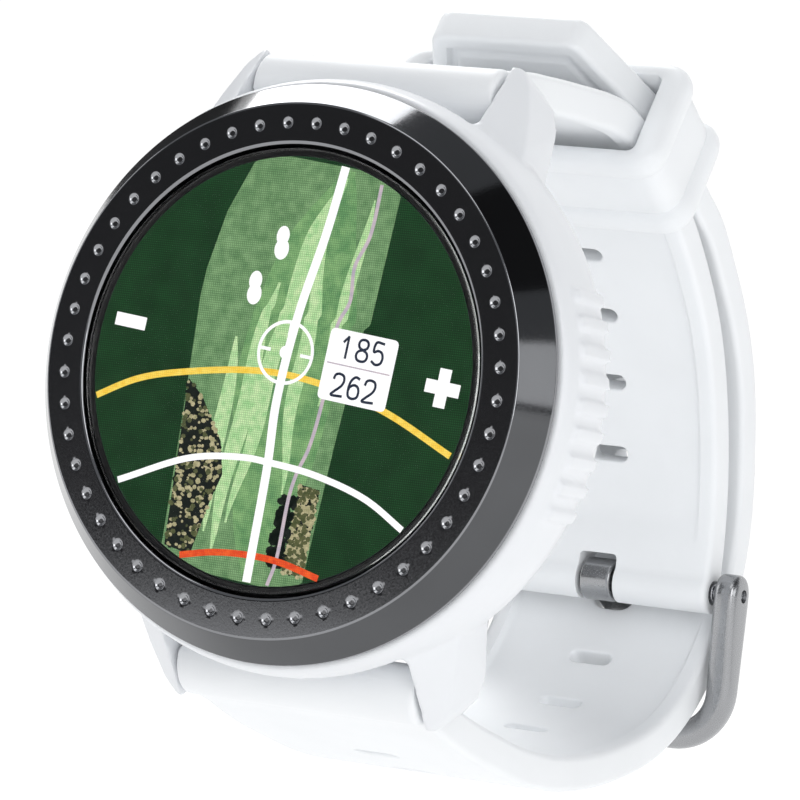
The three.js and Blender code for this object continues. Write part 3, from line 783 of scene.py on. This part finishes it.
def map_fairway(picture):
    """Light band down the map, with lens-shaped mown stripes that sway a little."""
    heights = np.arange(-LIT_R + 0.15, LIT_R - 0.1, 0.2)

    def band(middle, width, level, look, bottom=-LIT_R, top=LIT_R, sway=0.0, lean=0.0):
        left, right = [], []
        for v in heights[(heights > bottom) & (heights < top)]:
            room = math.sqrt(LIT_R**2 - v**2) - 0.03
            share = (v - bottom) / (top - bottom)
            a = span_at(FAIRWAY_LEFT, v)
            b = span_at(FAIRWAY_RIGHT, v)
            half = (b - a) * width / 2
            if sway:
                half *= math.sin(math.pi * min(max(share, 0.02), 0.98)) ** 0.7
            centre = a + (b - a) * (middle + lean * (share - 0.5)) + sway * math.sin(v * 0.55 + middle * 9)
            left.append((float(np.clip(centre - half, -room, room)), v))
            right.append((float(np.clip(centre + half, -room, room)), v))
        picture.strip(left, right, level, look)

    stripes = [
        (0.26, 0.1, -13, 2, 0.12), (0.38, 0.11, -14.5, 6.5, 0.15, 0.1), (0.5, 0.1, -12, 10, 0.2, 0.16),
        (0.56, 0.13, 1, 15.2, 0.2, 0.12), (0.68, 0.09, -9, 11, 0.25, -0.08), (0.84, 0.07, -2, 14, 0.15),
    ]
    band(0.5, 1.0, 1, EDGE)
    band(0.62, 0.62, 2, FAIRWAY, -15.5, 15.8, 0.15)
    for middle, width, *rest in stripes:
        band(middle, width, 3, STRIPE, *rest)


def map_trees(picture):
    draw = np.random.default_rng(7)
    for outline in (TREES, TREES_RIGHT):
        picture.patch(outline, 4, SHADE)
        us = [p[0] for p in outline]
        vs = [p[1] for p in outline]
        for _ in range(620):
            u = draw.uniform(min(us), max(us))
            v = draw.uniform(min(vs), max(vs))
            size = draw.uniform(0.1, 0.24)
            look = int(draw.choice([LEAF, LEAF, SHRUB, SHADE]))
            if in_outline(u, v, outline) and math.hypot(u, v) < LIT_R - 0.3:
                picture.blob(u, v, size, size * draw.uniform(0.6, 1.2), 5 + look * 0.1, look, 6)
    for _ in range(60):
        u = draw.uniform(2.5, 3.7)
        v = draw.uniform(-14.2, -8.9)
        picture.blob(u, v, draw.uniform(0.25, 0.5), draw.uniform(0.2, 0.45), 6, SHADE, 7)


def display_picture():
    """Lit face with a plain course map, distance arcs, a target and a distance box."""
    looks = [
        lit("map_rough", srgb(30, 82, 42), srgb(20, 68, 32), 0.5, 0.25),
        lit("map_fairway_edge", srgb(142, 184, 130), srgb(108, 152, 102), 1.3, 0.55),
        lit("map_fairway", srgb(150, 198, 132), srgb(106, 160, 104), 1.0, 0.6),
        lit("map_mown_stripe", srgb(222, 252, 192), srgb(170, 226, 156), 1.6, 0.65),
        lit("map_white", srgb(254, 254, 252), srgb(248, 248, 252), 2.0, 0.95, 1.15),
        lit("map_yellow", srgb(255, 224, 104), srgb(246, 200, 60), 2.0, 0.85, 1.1),
        lit("map_red", srgb(252, 104, 44), srgb(226, 62, 34), 2.0, 0.88),
        lit("map_path", srgb(214, 196, 204), srgb(186, 176, 190), 1.6, 0.9),
        lit("map_tree_shade", srgb(24, 32, 26), srgb(12, 20, 18), 2.4, 0.8),
        lit("map_tree_light", srgb(206, 196, 156), srgb(160, 156, 116), 3.0, 0.85),
        lit("map_tree_mid", srgb(104, 106, 70), srgb(70, 80, 50), 3.0, 0.85),
        lit("map_digit", srgb(52, 60, 78), srgb(34, 42, 58), 2.0, 0.95),
        INNER,
    ]
    picture = Picture()
    picture.patch(oval(0, 0, LIT_R, LIT_R, 180), 0, ROUGH)
    map_fairway(picture)
    map_trees(picture)
    picture.stroke(FOOTPATH, 0.3, 7, TRACK)
    for u, v in ((-2.2, 9.9), (-3.7, 6.2)):
        picture.blob(u, v, 0.55, 0.75, 7, WHITE)
        picture.blob(u + 0.12, v - 1.0, 0.62, 0.8, 7.2, WHITE)
    for arc, look in ((YELLOW_ARC, YELLOW), (WHITE_ARC, WHITE), (RED_ARC, RED)):
        picture.stroke(arc, 0.5, 8, look)
    picture.stroke(AIM_LINE, 0.72, 9, WHITE)
    picture.stroke(oval(*TARGET, TARGET_R, TARGET_R, 64), 0.26, 10, WHITE, closed=True)
    for root, tip in zip(oval(*TARGET, 1.35, 1.35, 4), oval(*TARGET, TARGET_R, TARGET_R, 4)):
        picture.strip(*thick(root, tip, 0.26), 10.5, WHITE)
    picture.blob(*TARGET, 0.5, 0.5, 11, WHITE)
    picture.bar(*BOX, 2.93, 2.69, 12, WHITE, 0.45)
    picture.bar(BOX[0], 1.4, 2.7, 0.05, 13, TRACK)
    digits(picture, "185", 6.55, 2.75, 1.62, 13, DIGIT)
    digits(picture, "262", 6.5, -0.08, 1.62, 13, DIGIT)
    picture.bar(*MINUS, 1.36, 0.5, 12, WHITE)
    picture.bar(*PLUS, 1.45, 0.5, 12, WHITE)
    picture.bar(*PLUS, 0.5, 1.45, 12.2, WHITE)
    rim = LIT_R + 0.03
    housing = [(rim, LIT_Y), (rim, 0.95), (16.65, 0.95), (16.65, 3.1), (0, 3.1), (0, LIT_Y + 0.02)]
    lathe(housing, segments=180, shape=picture.shape, look=HOUSING)
    obj = linked("display_finish", picture.shape.mesh("display_finish"))
    place(obj, looks, "watch", "display", "display_module")


# ---------------------------------------------------------------- strap

class Path:
    """Smooth curve through (a, b) points, measured by its length."""

    def __init__(self, points, per_span=40):
        knots = [np.array(p, float) for p in points]
        knots = [2 * knots[0] - knots[1], *knots, 2 * knots[-1] - knots[-2]]
        line = [knots[1]]
        for p0, p1, p2, p3 in zip(knots, knots[1:], knots[2:], knots[3:]):
            d0, d1, d2 = (math.sqrt(np.linalg.norm(b - a)) for a, b in ((p0, p1), (p1, p2), (p2, p3)))
            t1 = ((p1 - p0) / d0 - (p2 - p0) / (d0 + d1) + (p2 - p1) / d1) * d1
            t2 = ((p2 - p1) / d1 - (p3 - p1) / (d1 + d2) + (p3 - p2) / d2) * d1
            for t in np.linspace(0, 1, per_span + 1)[1:]:
                square = (3 * (p2 - p1) - 2 * t1 - t2) * t**2
                cube = (2 * (p1 - p2) + t1 + t2) * t**3
                line.append(p1 + t1 * t + square + cube)
        self.line = np.array(line)
        steps = np.linalg.norm(np.diff(self.line, axis=0), axis=1)
        self.along = np.concatenate([[0], np.cumsum(steps)])
        self.length = float(self.along[-1])
        tangent = np.gradient(self.line, axis=0)
        self.tangent = tangent / np.linalg.norm(tangent, axis=1)[:, None]

    def at(self, s):
        """Points and directions at distances along the curve, carried on straight past its ends."""
        s = np.asarray(s, float)
        inside = np.clip(s, 0, self.length)
        point = np.stack([np.interp(inside, self.along, self.line[:, i]) for i in (0, 1)], -1)
        ahead = np.stack([np.interp(inside, self.along, self.tangent[:, i]) for i in (0, 1)], -1)
        ahead /= np.linalg.norm(ahead, axis=-1)[..., None]
        return point + ahead * (s - inside)[..., None], ahead

    def nearest(self, point):
        return float(self.along[np.argmin(np.linalg.norm(self.line - np.array(point), axis=1))])


def on_run(s, n):
    """(y, z) on the inclined run under the keeper, s down the strap and n away from the wrist."""
    c = math.cos(RUN_TILT)
    d = math.sin(RUN_TILT)
    return s * c + n * d, -s * d + n * c


UPPER = Path([
    LUG_BAR, (14.5, 23.9), (19, 24.25), (24, 24.45), (29, 24.55), (32.3, 24.3), on_run(19.5, UPPER_N),
    on_run(23, UPPER_N), on_run(27, UPPER_N), on_run(31, UPPER_N), (51.0, 12.6), (54.2, 8.5), (56.8, 3.3),
    (58.6, -2.3), (59.4, -7), BUCKLE_BAR,
])
TAIL = Path([
    (LUG_BAR[0], -LUG_BAR[1]), (14.2, -24.1), (18.5, -25.4), (23.6, -26.5), (29, -27.45), (36, -27.8),
    (45, -26.75), (53.5, -24.1), (59.3, -19.7), (63.1, -13.5), (64.3, -8.6), (64.35, -4.6), (63.65, -0.8),
    (62.2, 4.3), (60.6, 7.8), (58.1, 11.4), (55.2, 14.5), on_run(35.5, TAIL_N), on_run(32, TAIL_N),
    on_run(28, TAIL_N), on_run(23, TAIL_N), on_run(18, TAIL_N), on_run(14, TAIL_N), on_run(10, TAIL_N),
])


class Band:
    """One strap half, first flat in (x, s, n) and then bent along its curve."""

    def __init__(self, path, side, slots, first, half_at, panel=None):
        self.path = path
        self.side = side
        self.slots = slots
        self.first = first
        self.half_at = half_at
        self.panel = panel
        self.step = SLOT_PITCH / ROWS_PER_PITCH
        self.shape = Shape()

    def sink(self, x, s, half):
        """Depth of the inner face's recess at a place."""
        rim = half - abs(x)
        if self.panel:
            rim = min(rim, self.path.length - s)
        deep = RECESS * smooth_step(rim, RIM, RIM + 0.45)
        if self.panel:
            near_tip = smooth_step(s, self.path.length - PANEL_FROM, self.path.length - PANEL_FULL)
            deep -= (RECESS - PANEL_RECESS) * smooth_step(rim, RIM + 0.85, RIM + 1.25) * near_tip
        end = 1 if self.panel else smooth_step(self.path.length - s, 3.5, 6.5)
        return deep * smooth_step(s, 3.0, 6.0) * end

    def section(self, s, h, half):
        """Closed outline across the strap."""
        r = min(EDGE_R, h)
        squeeze = STRAP_HALF - half
        xs = [x - squeeze if x >= EDGE_X else x * (EDGE_X - squeeze) / EDGE_X for x in COLUMNS]
        xs = [min(x, half - EDGE_R) for x in xs]
        xs = [half - EDGE_R, *xs, 0.0, *[-x for x in reversed(xs)], EDGE_R - half]
        outer = [(x, s, h) for x in xs]
        inner = [(x, s, -h + self.sink(x, s, half)) for x in reversed(xs)]

        def corner(centre, a):
            return half - EDGE_R + EDGE_R * math.sin(a), centre + r * math.cos(a)

        edge = [corner(h - r, a) for a in np.linspace(0, math.pi / 2, 6)[1:-1]]
        edge += [(half, h - r), (half, r - h)]
        edge += [corner(r - h, a) for a in np.linspace(math.pi / 2, math.pi, 6)[1:-1]]
        left = [(-x, s, n) for x, n in edge]
        right = [(x, s, n) for x, n in reversed(edge)]
        return outer + left + inner + right

    def slot_patch(self, s0, centre, half_s):
        """Wall and rounded edges of a slot, out to the grid of both faces."""
        rows = self.step * PATCH_ROWS
        xs = np.arange(-PATCH_HALF, PATCH_HALF + 0.01, 0.5)
        ss = np.arange(-PATCH_ROWS, PATCH_ROWS + 0.5) * self.step
        frame_points = [(x, -rows) for x in xs] + [(PATCH_HALF, s) for s in ss[1:-1]]
        frame_points += [(x, rows) for x in xs[::-1]] + [(-PATCH_HALF, s) for s in ss[::-1][1:-1]]
        straight = SLOT_HALF_X - half_s if half_s < SLOT_HALF_X else 0.0
        offset = centre - s0
        soft = 0.22

        def ring(reach, n, blend=0.0):
            """Slot outline at height n, blended towards the grid."""
            out = []
            for x, s in frame_points:
                core = np.array((np.clip(x, -straight, straight), offset))
                way = np.array((x, s)) - core
                at = core + way / np.linalg.norm(way) * reach
                at = at * (1 - blend) + np.array((x, s)) * blend
                out.append((at[0], s0 + at[1], n))
            return out

        top = STRAP_H
        low = RECESS - STRAP_H
        rings = [ring(half_s + soft, top, blend) for blend in (1.0, 0.4, 0.0)]
        for a in np.linspace(0, math.pi / 2, 5)[1:]:
            rings.append(ring(half_s + soft * (1 - math.sin(a)), top - soft * (1 - math.cos(a))))
        for a in np.linspace(math.pi / 2, 0, 5)[:-1]:
            rings.append(ring(half_s + soft * (1 - math.sin(a)), low + soft * (1 - math.cos(a))))
        rings += [ring(half_s + soft, low, blend) for blend in (0.0, 0.4, 1.0)]
        self.shape.skin(rings)

    def in_patch(self, s):
        return any(abs(s - s0) < self.step * PATCH_ROWS - 0.01 for s0, _, _ in self.slots)

    def build(self, name, starts, ends):
        """starts and ends are rows of (distance, half thickness) that shape the two ends."""
        from_s = starts[-1][0] + 0.1
        to_s = ends[0][0] - 0.1
        count_low = math.ceil((from_s - self.first) / self.step)
        count_high = math.floor((to_s - self.first) / self.step)
        middle = [(self.first + i * self.step, STRAP_H) for i in range(count_low, count_high + 1)]
        rows = starts + middle + ends
        rings = [self.section(s, h, self.half_at(s)) for s, h in rows]
        faces_count = 2 * (len(COLUMNS) + 1)
        patch_from = 1 + COLUMNS.index(PATCH_HALF)
        patch_to = faces_count - patch_from
        inner_start = len(rings[0]) // 2

        def skip(i, j):
            if not self.in_patch((rows[i][0] + rows[i + 1][0]) / 2):
                return False
            return patch_from <= j < patch_to or patch_from <= j - inner_start < patch_to

        self.shape.skin(rings, skip=skip)
        for ring in (rings[0], rings[-1]):
            self.shape.cap(ring)
        for slot in self.slots:
            self.slot_patch(*slot)
        self.shape.bent(self.bend)
        return self.shape.make(name)

    def bend(self, points):
        place_at, ahead = self.path.at(points[:, 1])
        away = np.stack([-self.side * ahead[:, 1], self.side * ahead[:, 0]], -1)
        yz = place_at + away * points[:, 2:3]
        return np.concatenate([points[:, 0:1], yz], axis=1)


def barrel_rows(radius, sign, centre, to_height):
    """Rows round a rolled end, from its far side to where it meets the flat band."""
    stop = math.pi - math.asin(to_height / radius)
    angles = np.linspace(0.04, stop, 16)
    return [(centre - sign * radius * math.cos(a), radius * math.sin(a)) for a in angles]


def root_rows():
    rows = barrel_rows(ROOT_R, 1, 0.0, 1.75)
    start, height = rows[-1]
    for s in np.linspace(start, start + 2.4, 8)[1:]:
        rows.append((s, STRAP_H + (height - STRAP_H) * (1 - float(smooth_step(s, start, start + 2.4)))))
    return rows


def slot_row(start, numbers):
    """(row, centre, half height) of slots at a steady pitch."""
    return [(start + k * SLOT_PITCH, start + k * SLOT_PITCH, SLOT_HALF) for k in numbers]


def upper_strap():
    first = UPPER.nearest((48.2, 15.4))
    band = Band(UPPER, 1, slot_row(first, range(4)), first, lambda s: STRAP_HALF)
    ends = barrel_rows(KNUCKLE_R, -1, UPPER.length, STRAP_H)[::-1]
    obj = band.build("buckle_strap_finish", root_rows(), ends)
    top = BUCKLE_BAR[1] + 2.2
    notch = rounded([(-1.75, -14, 0), (1.75, -14, 0), (1.75, top, 0.5), (-1.75, top, 0.5)], 6)
    bores = [rod("bore", BORE_R, -12, 12, spot, "X", 40) for spot in (LUG_BAR, BUCKLE_BAR)]
    cut(obj, *bores, slab("notch", notch, (54, 66)))
    place(obj, WHITE_RUBBER, "watch", "strap_white", "buckle_strap", sharp=40)


def tail_half(s):
    left = TAIL.length - s
    half = STRAP_HALF if left > TIP_TAPER else TIP_HALF + (STRAP_HALF - TIP_HALF) * left / TIP_TAPER
    corner = 1.1
    if left < corner:
        half -= 0.8 * (corner - math.sqrt(max(0.0, corner**2 - (corner - left) ** 2)))
    return half


def tail_strap():
    used = TAIL.nearest((63.1, -13.5))
    slots = slot_row(used, [k for k in range(-7, 5) if k])
    slots.append((used, used + USED_SLOT_SHIFT, USED_SLOT_HALF))
    band = Band(TAIL, -1, slots, used, tail_half, panel=True)
    ends = [(TAIL.length - d, STRAP_H) for d in np.arange(4.4, 0.5, -0.14)]
    for a in np.linspace(0, math.pi / 2, 6):
        ends.append((TAIL.length - 0.5 * (1 - math.sin(a)), STRAP_H - 0.5 * (1 - math.cos(a))))
    obj = band.build("tail_strap_finish", root_rows(), ends)
    cut(obj, rod("bore", BORE_R, -12, 12, (LUG_BAR[0], -LUG_BAR[1]), "X", 40))
    place(obj, WHITE_RUBBER, "watch", "strap_white", "tail_strap", sharp=40)


def keeper():
    """Loop with two rounded rims and a lower band between them."""
    s0, s1 = KEEPER_S

    def ring(s, lower, hole=False):
        half = (KEEPER_HOLE_HALF if hole else KEEPER_HALF) - lower
        low, high = KEEPER_HOLE_N if hole else KEEPER_N
        low += lower
        high -= lower
        r = KEEPER_HOLE_CORNER if hole else KEEPER_CORNER - lower
        outline = rounded([(half, low, r), (half, high, r), (-half, high, r), (-half, low, r)], 10)
        return [(x, *on_run(s, n)) for x, n in outline]

    front = [(0, 0.9), (0.12, 0.5), (0.4, 0.18), (0.8, 0.03), (1.2, 0), (1.6, 0.04), (2.0, 0.2),
             (2.25, 0.45), (2.4, 0.66), (2.6, 0.6)]
    rings = [ring(s0 + 0.15, 0, True), ring(s0, -0.15, True)]
    rings += [ring(s0 + s, lower) for s, lower in front]
    rings += [ring(s1 - s, lower) for s, lower in reversed(front)]
    rings += [ring(s1, -0.15, True), ring(s1 - 0.15, 0, True)]
    obj = Shape().skin(rings, along=True).make("keeper_finish")
    place(obj, WHITE_RUBBER, "keeper_loop", "strap_white", "keeper", sharp=50)


# ---------------------------------------------------------------- buckle

def buckle_axes():
    bar = np.array((0, *BUCKLE_BAR))
    down = np.array((0, CROSSBAR[0] - BUCKLE_BAR[0], CROSSBAR[1] - BUCKLE_BAR[1]))
    length = float(np.linalg.norm(down))
    down = down / length
    return bar, down, np.array((0, -down[2], down[1])), length


def buckle_frame():
    """Two flat-faced side bars with round eyes, joined by a round crossbar."""
    bar, down, deep, length = buckle_axes()
    line = []
    for a in np.linspace(0.12, math.pi / 2, 9):
        line.append((FRAME_X, -EYE_HALF * math.cos(a), EYE_HALF * math.sin(a)))
    for drop in np.linspace(0, length - CORNER_R, 9)[1:]:
        share = smooth_step(drop, 0, length - CORNER_R)
        line.append((FRAME_X, drop, EYE_HALF + (CROSS_HALF - EYE_HALF) * float(share)))
    for a in np.linspace(0, math.pi / 2, 14)[1:]:
        line.append((FRAME_X - CORNER_R + CORNER_R * math.sin(a + math.pi / 2),
                     length - CORNER_R + CORNER_R * math.sin(a), CROSS_HALF))
    line += [(x, length, CROSS_HALF) for x in (6.0, 4.0, 2.0, 0.0)]
    line += [(-x, drop, h) for x, drop, h in line[-2::-1]]
    rings = []
    for i, (x, drop, h) in enumerate(line):
        before = np.array(line[max(0, i - 1)][:2])
        after = np.array(line[min(len(line) - 1, i + 1)][:2])
        way = (after - before) / np.linalg.norm(after - before)
        outward = np.array((way[1], -way[0]))
        boxy = 1 - float(smooth_step(drop, length - CORNER_R - 2, length))
        narrow = min(1.0, (h / EYE_HALF) ** 0.3) if drop < 0 else 1.0
        ring = []
        for a in np.linspace(0, 2 * math.pi, 40, endpoint=False):
            c = math.cos(a)
            s = math.sin(a)
            flat = 0.5 if c > 0 else 0.85
            power = 0.9 + (flat - 0.9) * boxy
            power_deep = 0.9 + (0.7 - 0.9) * boxy
            across = FRAME_HALF * narrow * math.copysign(abs(c) ** power, c)
            depth = h * math.copysign(abs(s) ** power_deep, s)
            at = outward * across + np.array((x, drop))
            ring.append(bar + np.array((at[0], 0, 0)) + down * at[1] + deep * depth)
        rings.append(ring)
    obj = Shape().skin(rings).cap(rings[0]).cap(rings[-1]).make("buckle_frame_finish")
    cut(obj, rod("bore", 0.56, -14, 14, BUCKLE_BAR, "X", 32))
    place(obj, STEEL, "buckle", "steel", "buckle_frame", sharp=40)


def prong():
    """Pressed tongue that curls round the buckle's bar."""
    path = Path([(60.9, -12.45), (63.0, -13.45), (64.6, -14.4), (65.7, -16.1), (65.7, -18.6),
                 (64.8, -21.2), (63.3, -23.8), (62.5, -25.3)])
    corners = [(PRONG_HALF, -PRONG_H, 0.3), (PRONG_HALF, PRONG_H, 0.3), (-PRONG_HALF, PRONG_H, 0.3),
               (-PRONG_HALF, -PRONG_H, 0.3)]
    outline = rounded(corners)
    rings = []
    for s in np.linspace(0, path.length, 44):
        point, ahead = path.at(s)
        away = np.array((-ahead[1], ahead[0]))
        end = float(smooth_step(path.length - s, 0, 0.5)) * 0.35 + 0.65
        rings.append([(x * end, *(point + away * n * end)) for x, n in outline])
    tongue = Shape().skin(rings).cap(rings[0]).cap(rings[-1]).make("buckle_prong_finish")
    curl = [(BORE_R, -PRONG_HALF, 0.1), (KNUCKLE_R, -PRONG_HALF, 0.25), (KNUCKLE_R, PRONG_HALF, 0.25),
            (BORE_R, PRONG_HALF, 0.1)]
    join(tongue, turned("curl", curl, BUCKLE_BAR, "X", 64))
    place(tongue, STEEL, "prong", "steel", "buckle_prong", sharp=40)


# ---------------------------------------------------------------- studio

def camera():
    """View from the right of the watch, a little rolled, through a long lens."""
    level = math.cos(PITCH)
    ahead = Vector((-math.sin(HEADING) * level, math.cos(HEADING) * level, math.sin(PITCH)))
    side = ahead.cross(Vector((0, 0, 1))).normalized()
    up = side.cross(ahead)
    right = side * math.cos(ROLL) + up * math.sin(ROLL)
    top = up * math.cos(ROLL) - side * math.sin(ROLL)
    data = bpy.data.cameras.new("camera")
    data.lens = LENS
    data.sensor_width = 36
    data.clip_start = 0.02
    data.clip_end = 20
    obj = linked("camera", data)
    turn = Matrix((right, top, -ahead)).transposed().to_4x4()
    obj.matrix_world = Matrix.Translation(CASE_TO_ROW @ Vector(CAMERA_SPOT)) @ turn
    bpy.context.scene.camera = obj


def facing(direction, distance, along=(0, 0, 1)):
    """Place in a direction from the watch, facing it, with its X side along another direction."""
    way = Vector(direction).normalized()
    across = (Vector(along) - way * way.dot(Vector(along))).normalized()
    turn = Matrix((across, way.cross(across), way)).transposed().to_4x4()
    return Matrix.Translation(CENTRE + Vector((0, 0.02, 0)) + way * distance) @ turn


def soft_box(name, direction, distance, size, power, along=(0, 0, 1)):
    """Rectangular soft light aimed at the watch; distance and size in metres."""
    data = bpy.data.lights.new(name, "AREA")
    data.shape = "RECTANGLE"
    data.size, data.size_y = size
    data.energy = power
    linked(name, data).matrix_world = facing(direction, distance, along)


def dark_card(name, direction, distance, size, along=(0, 0, 1)):
    """Dark board that keeps a reflection on the bezel or the glass dark."""
    a = size[0] / 2
    b = size[1] / 2
    mesh = Shape().cap([(-a, -b, 0), (a, -b, 0), (a, b, 0), (-a, b, 0)]).mesh(name)
    mesh.materials.append(CARD)
    obj = linked(name, mesh)
    obj.matrix_world = facing(direction, distance, along)


def studio():
    material, tree, shader = new_material("pale_floor")
    cloud = between(tree, noise(tree, millimetres(tree), 0.02), 0, 1)
    wire(tree, shader, Base_Color=mixed(tree, cloud, srgb(90, 91, 92), srgb(94, 95, 96)), Roughness=0.9)
    wire(tree, shader, Emission_Color=(1, 1, 1, 1), Emission_Strength=0.97)
    outline = [(-1.0, 0.0), (0.5, 0.0)]
    for a in np.linspace(0, math.pi / 2, 13)[1:]:
        outline.append((0.5 + 0.3 * math.sin(a), 0.3 - 0.3 * math.cos(a)))
    outline.append((0.8, 1.2))
    rings = [[(x, y, z) for x in (-1.2, 1.2)] for y, z in outline]
    sweep = Shape().skin(rings, around=False).make("floor_sweep")
    sweep.data.materials.append(material)
    sweep.data.shade_smooth()
    world = bpy.data.worlds.new("studio")
    world.use_nodes = True
    sky = world.node_tree.nodes["Background"]
    wire(world.node_tree, sky, Color=(0.93, 0.96, 1.0, 1), Strength=0.3)
    bpy.context.scene.world = world
    soft_box("overhead_strip", (-0.43, 0.34, 0.84), 0.5, (0.36, 0.16), 1.5, (0.52, -0.29, 0.38))
    soft_box("front_right", (0.66, -0.72, 0.25), 0.6, (0.4, 0.26), 0.9)
    soft_box("top_front", (0.0, -0.62, 0.78), 0.6, (0.3, 0.4), 0.6)
    soft_box("left", (-0.97, -0.1, 0.25), 0.6, (0.35, 0.25), 0.4)
    soft_box("low_right", (0.98, -0.14, 0.17), 0.5, (0.16, 0.34), 0.32)
    dark_card("card_front_left", (-0.48, -0.88, 0.04), 1.1, (0.52, 0.52))
    dark_card("card_back_left", (-0.71, 0.64, 0.26), 1.1, (0.68, 0.34))
    dark_card("card_overhead", (0.62, -0.06, 0.78), 1.1, (0.66, 0.6), (0.78, 0, -0.62))
    bpy.context.scene.view_settings.view_transform = "Standard"


camera()
case_body()
screw_bosses()
bezel()
glass()
display_picture()
back()
back_screws()
charging_contacts()
button()
spring_bar("upper_spring_bar", "upper_lug_bar", LUG_BAR, 10.5, 12.0, 0.45)
spring_bar("lower_spring_bar", "lower_lug_bar", (LUG_BAR[0], -LUG_BAR[1]), 10.5, 12.0, 0.45)
spring_bar("buckle_spring_bar", "buckle_bar", BUCKLE_BAR, 10.6, 12.9, 0.5)
dress("bezel_gasket", SEAL, 0.02)
dress("back_gasket", SEAL, 0.15)
dress("display_frame", INNER, 0.1)
dress("display_flex", AMBER, 0.05)
dress("main_board", BOARD, 0.1)
dress("gps_antenna", FOIL, 0.15)
dress("battery", FOIL, 0.5)
dress("vibration_motor", STEEL_FINE, 0.3)
dress("side_switch", INNER, 0.15)
upper_strap()
tail_strap()
keeper()
buckle_frame()
prong()
studio()

bpy.context.view_layer.update()
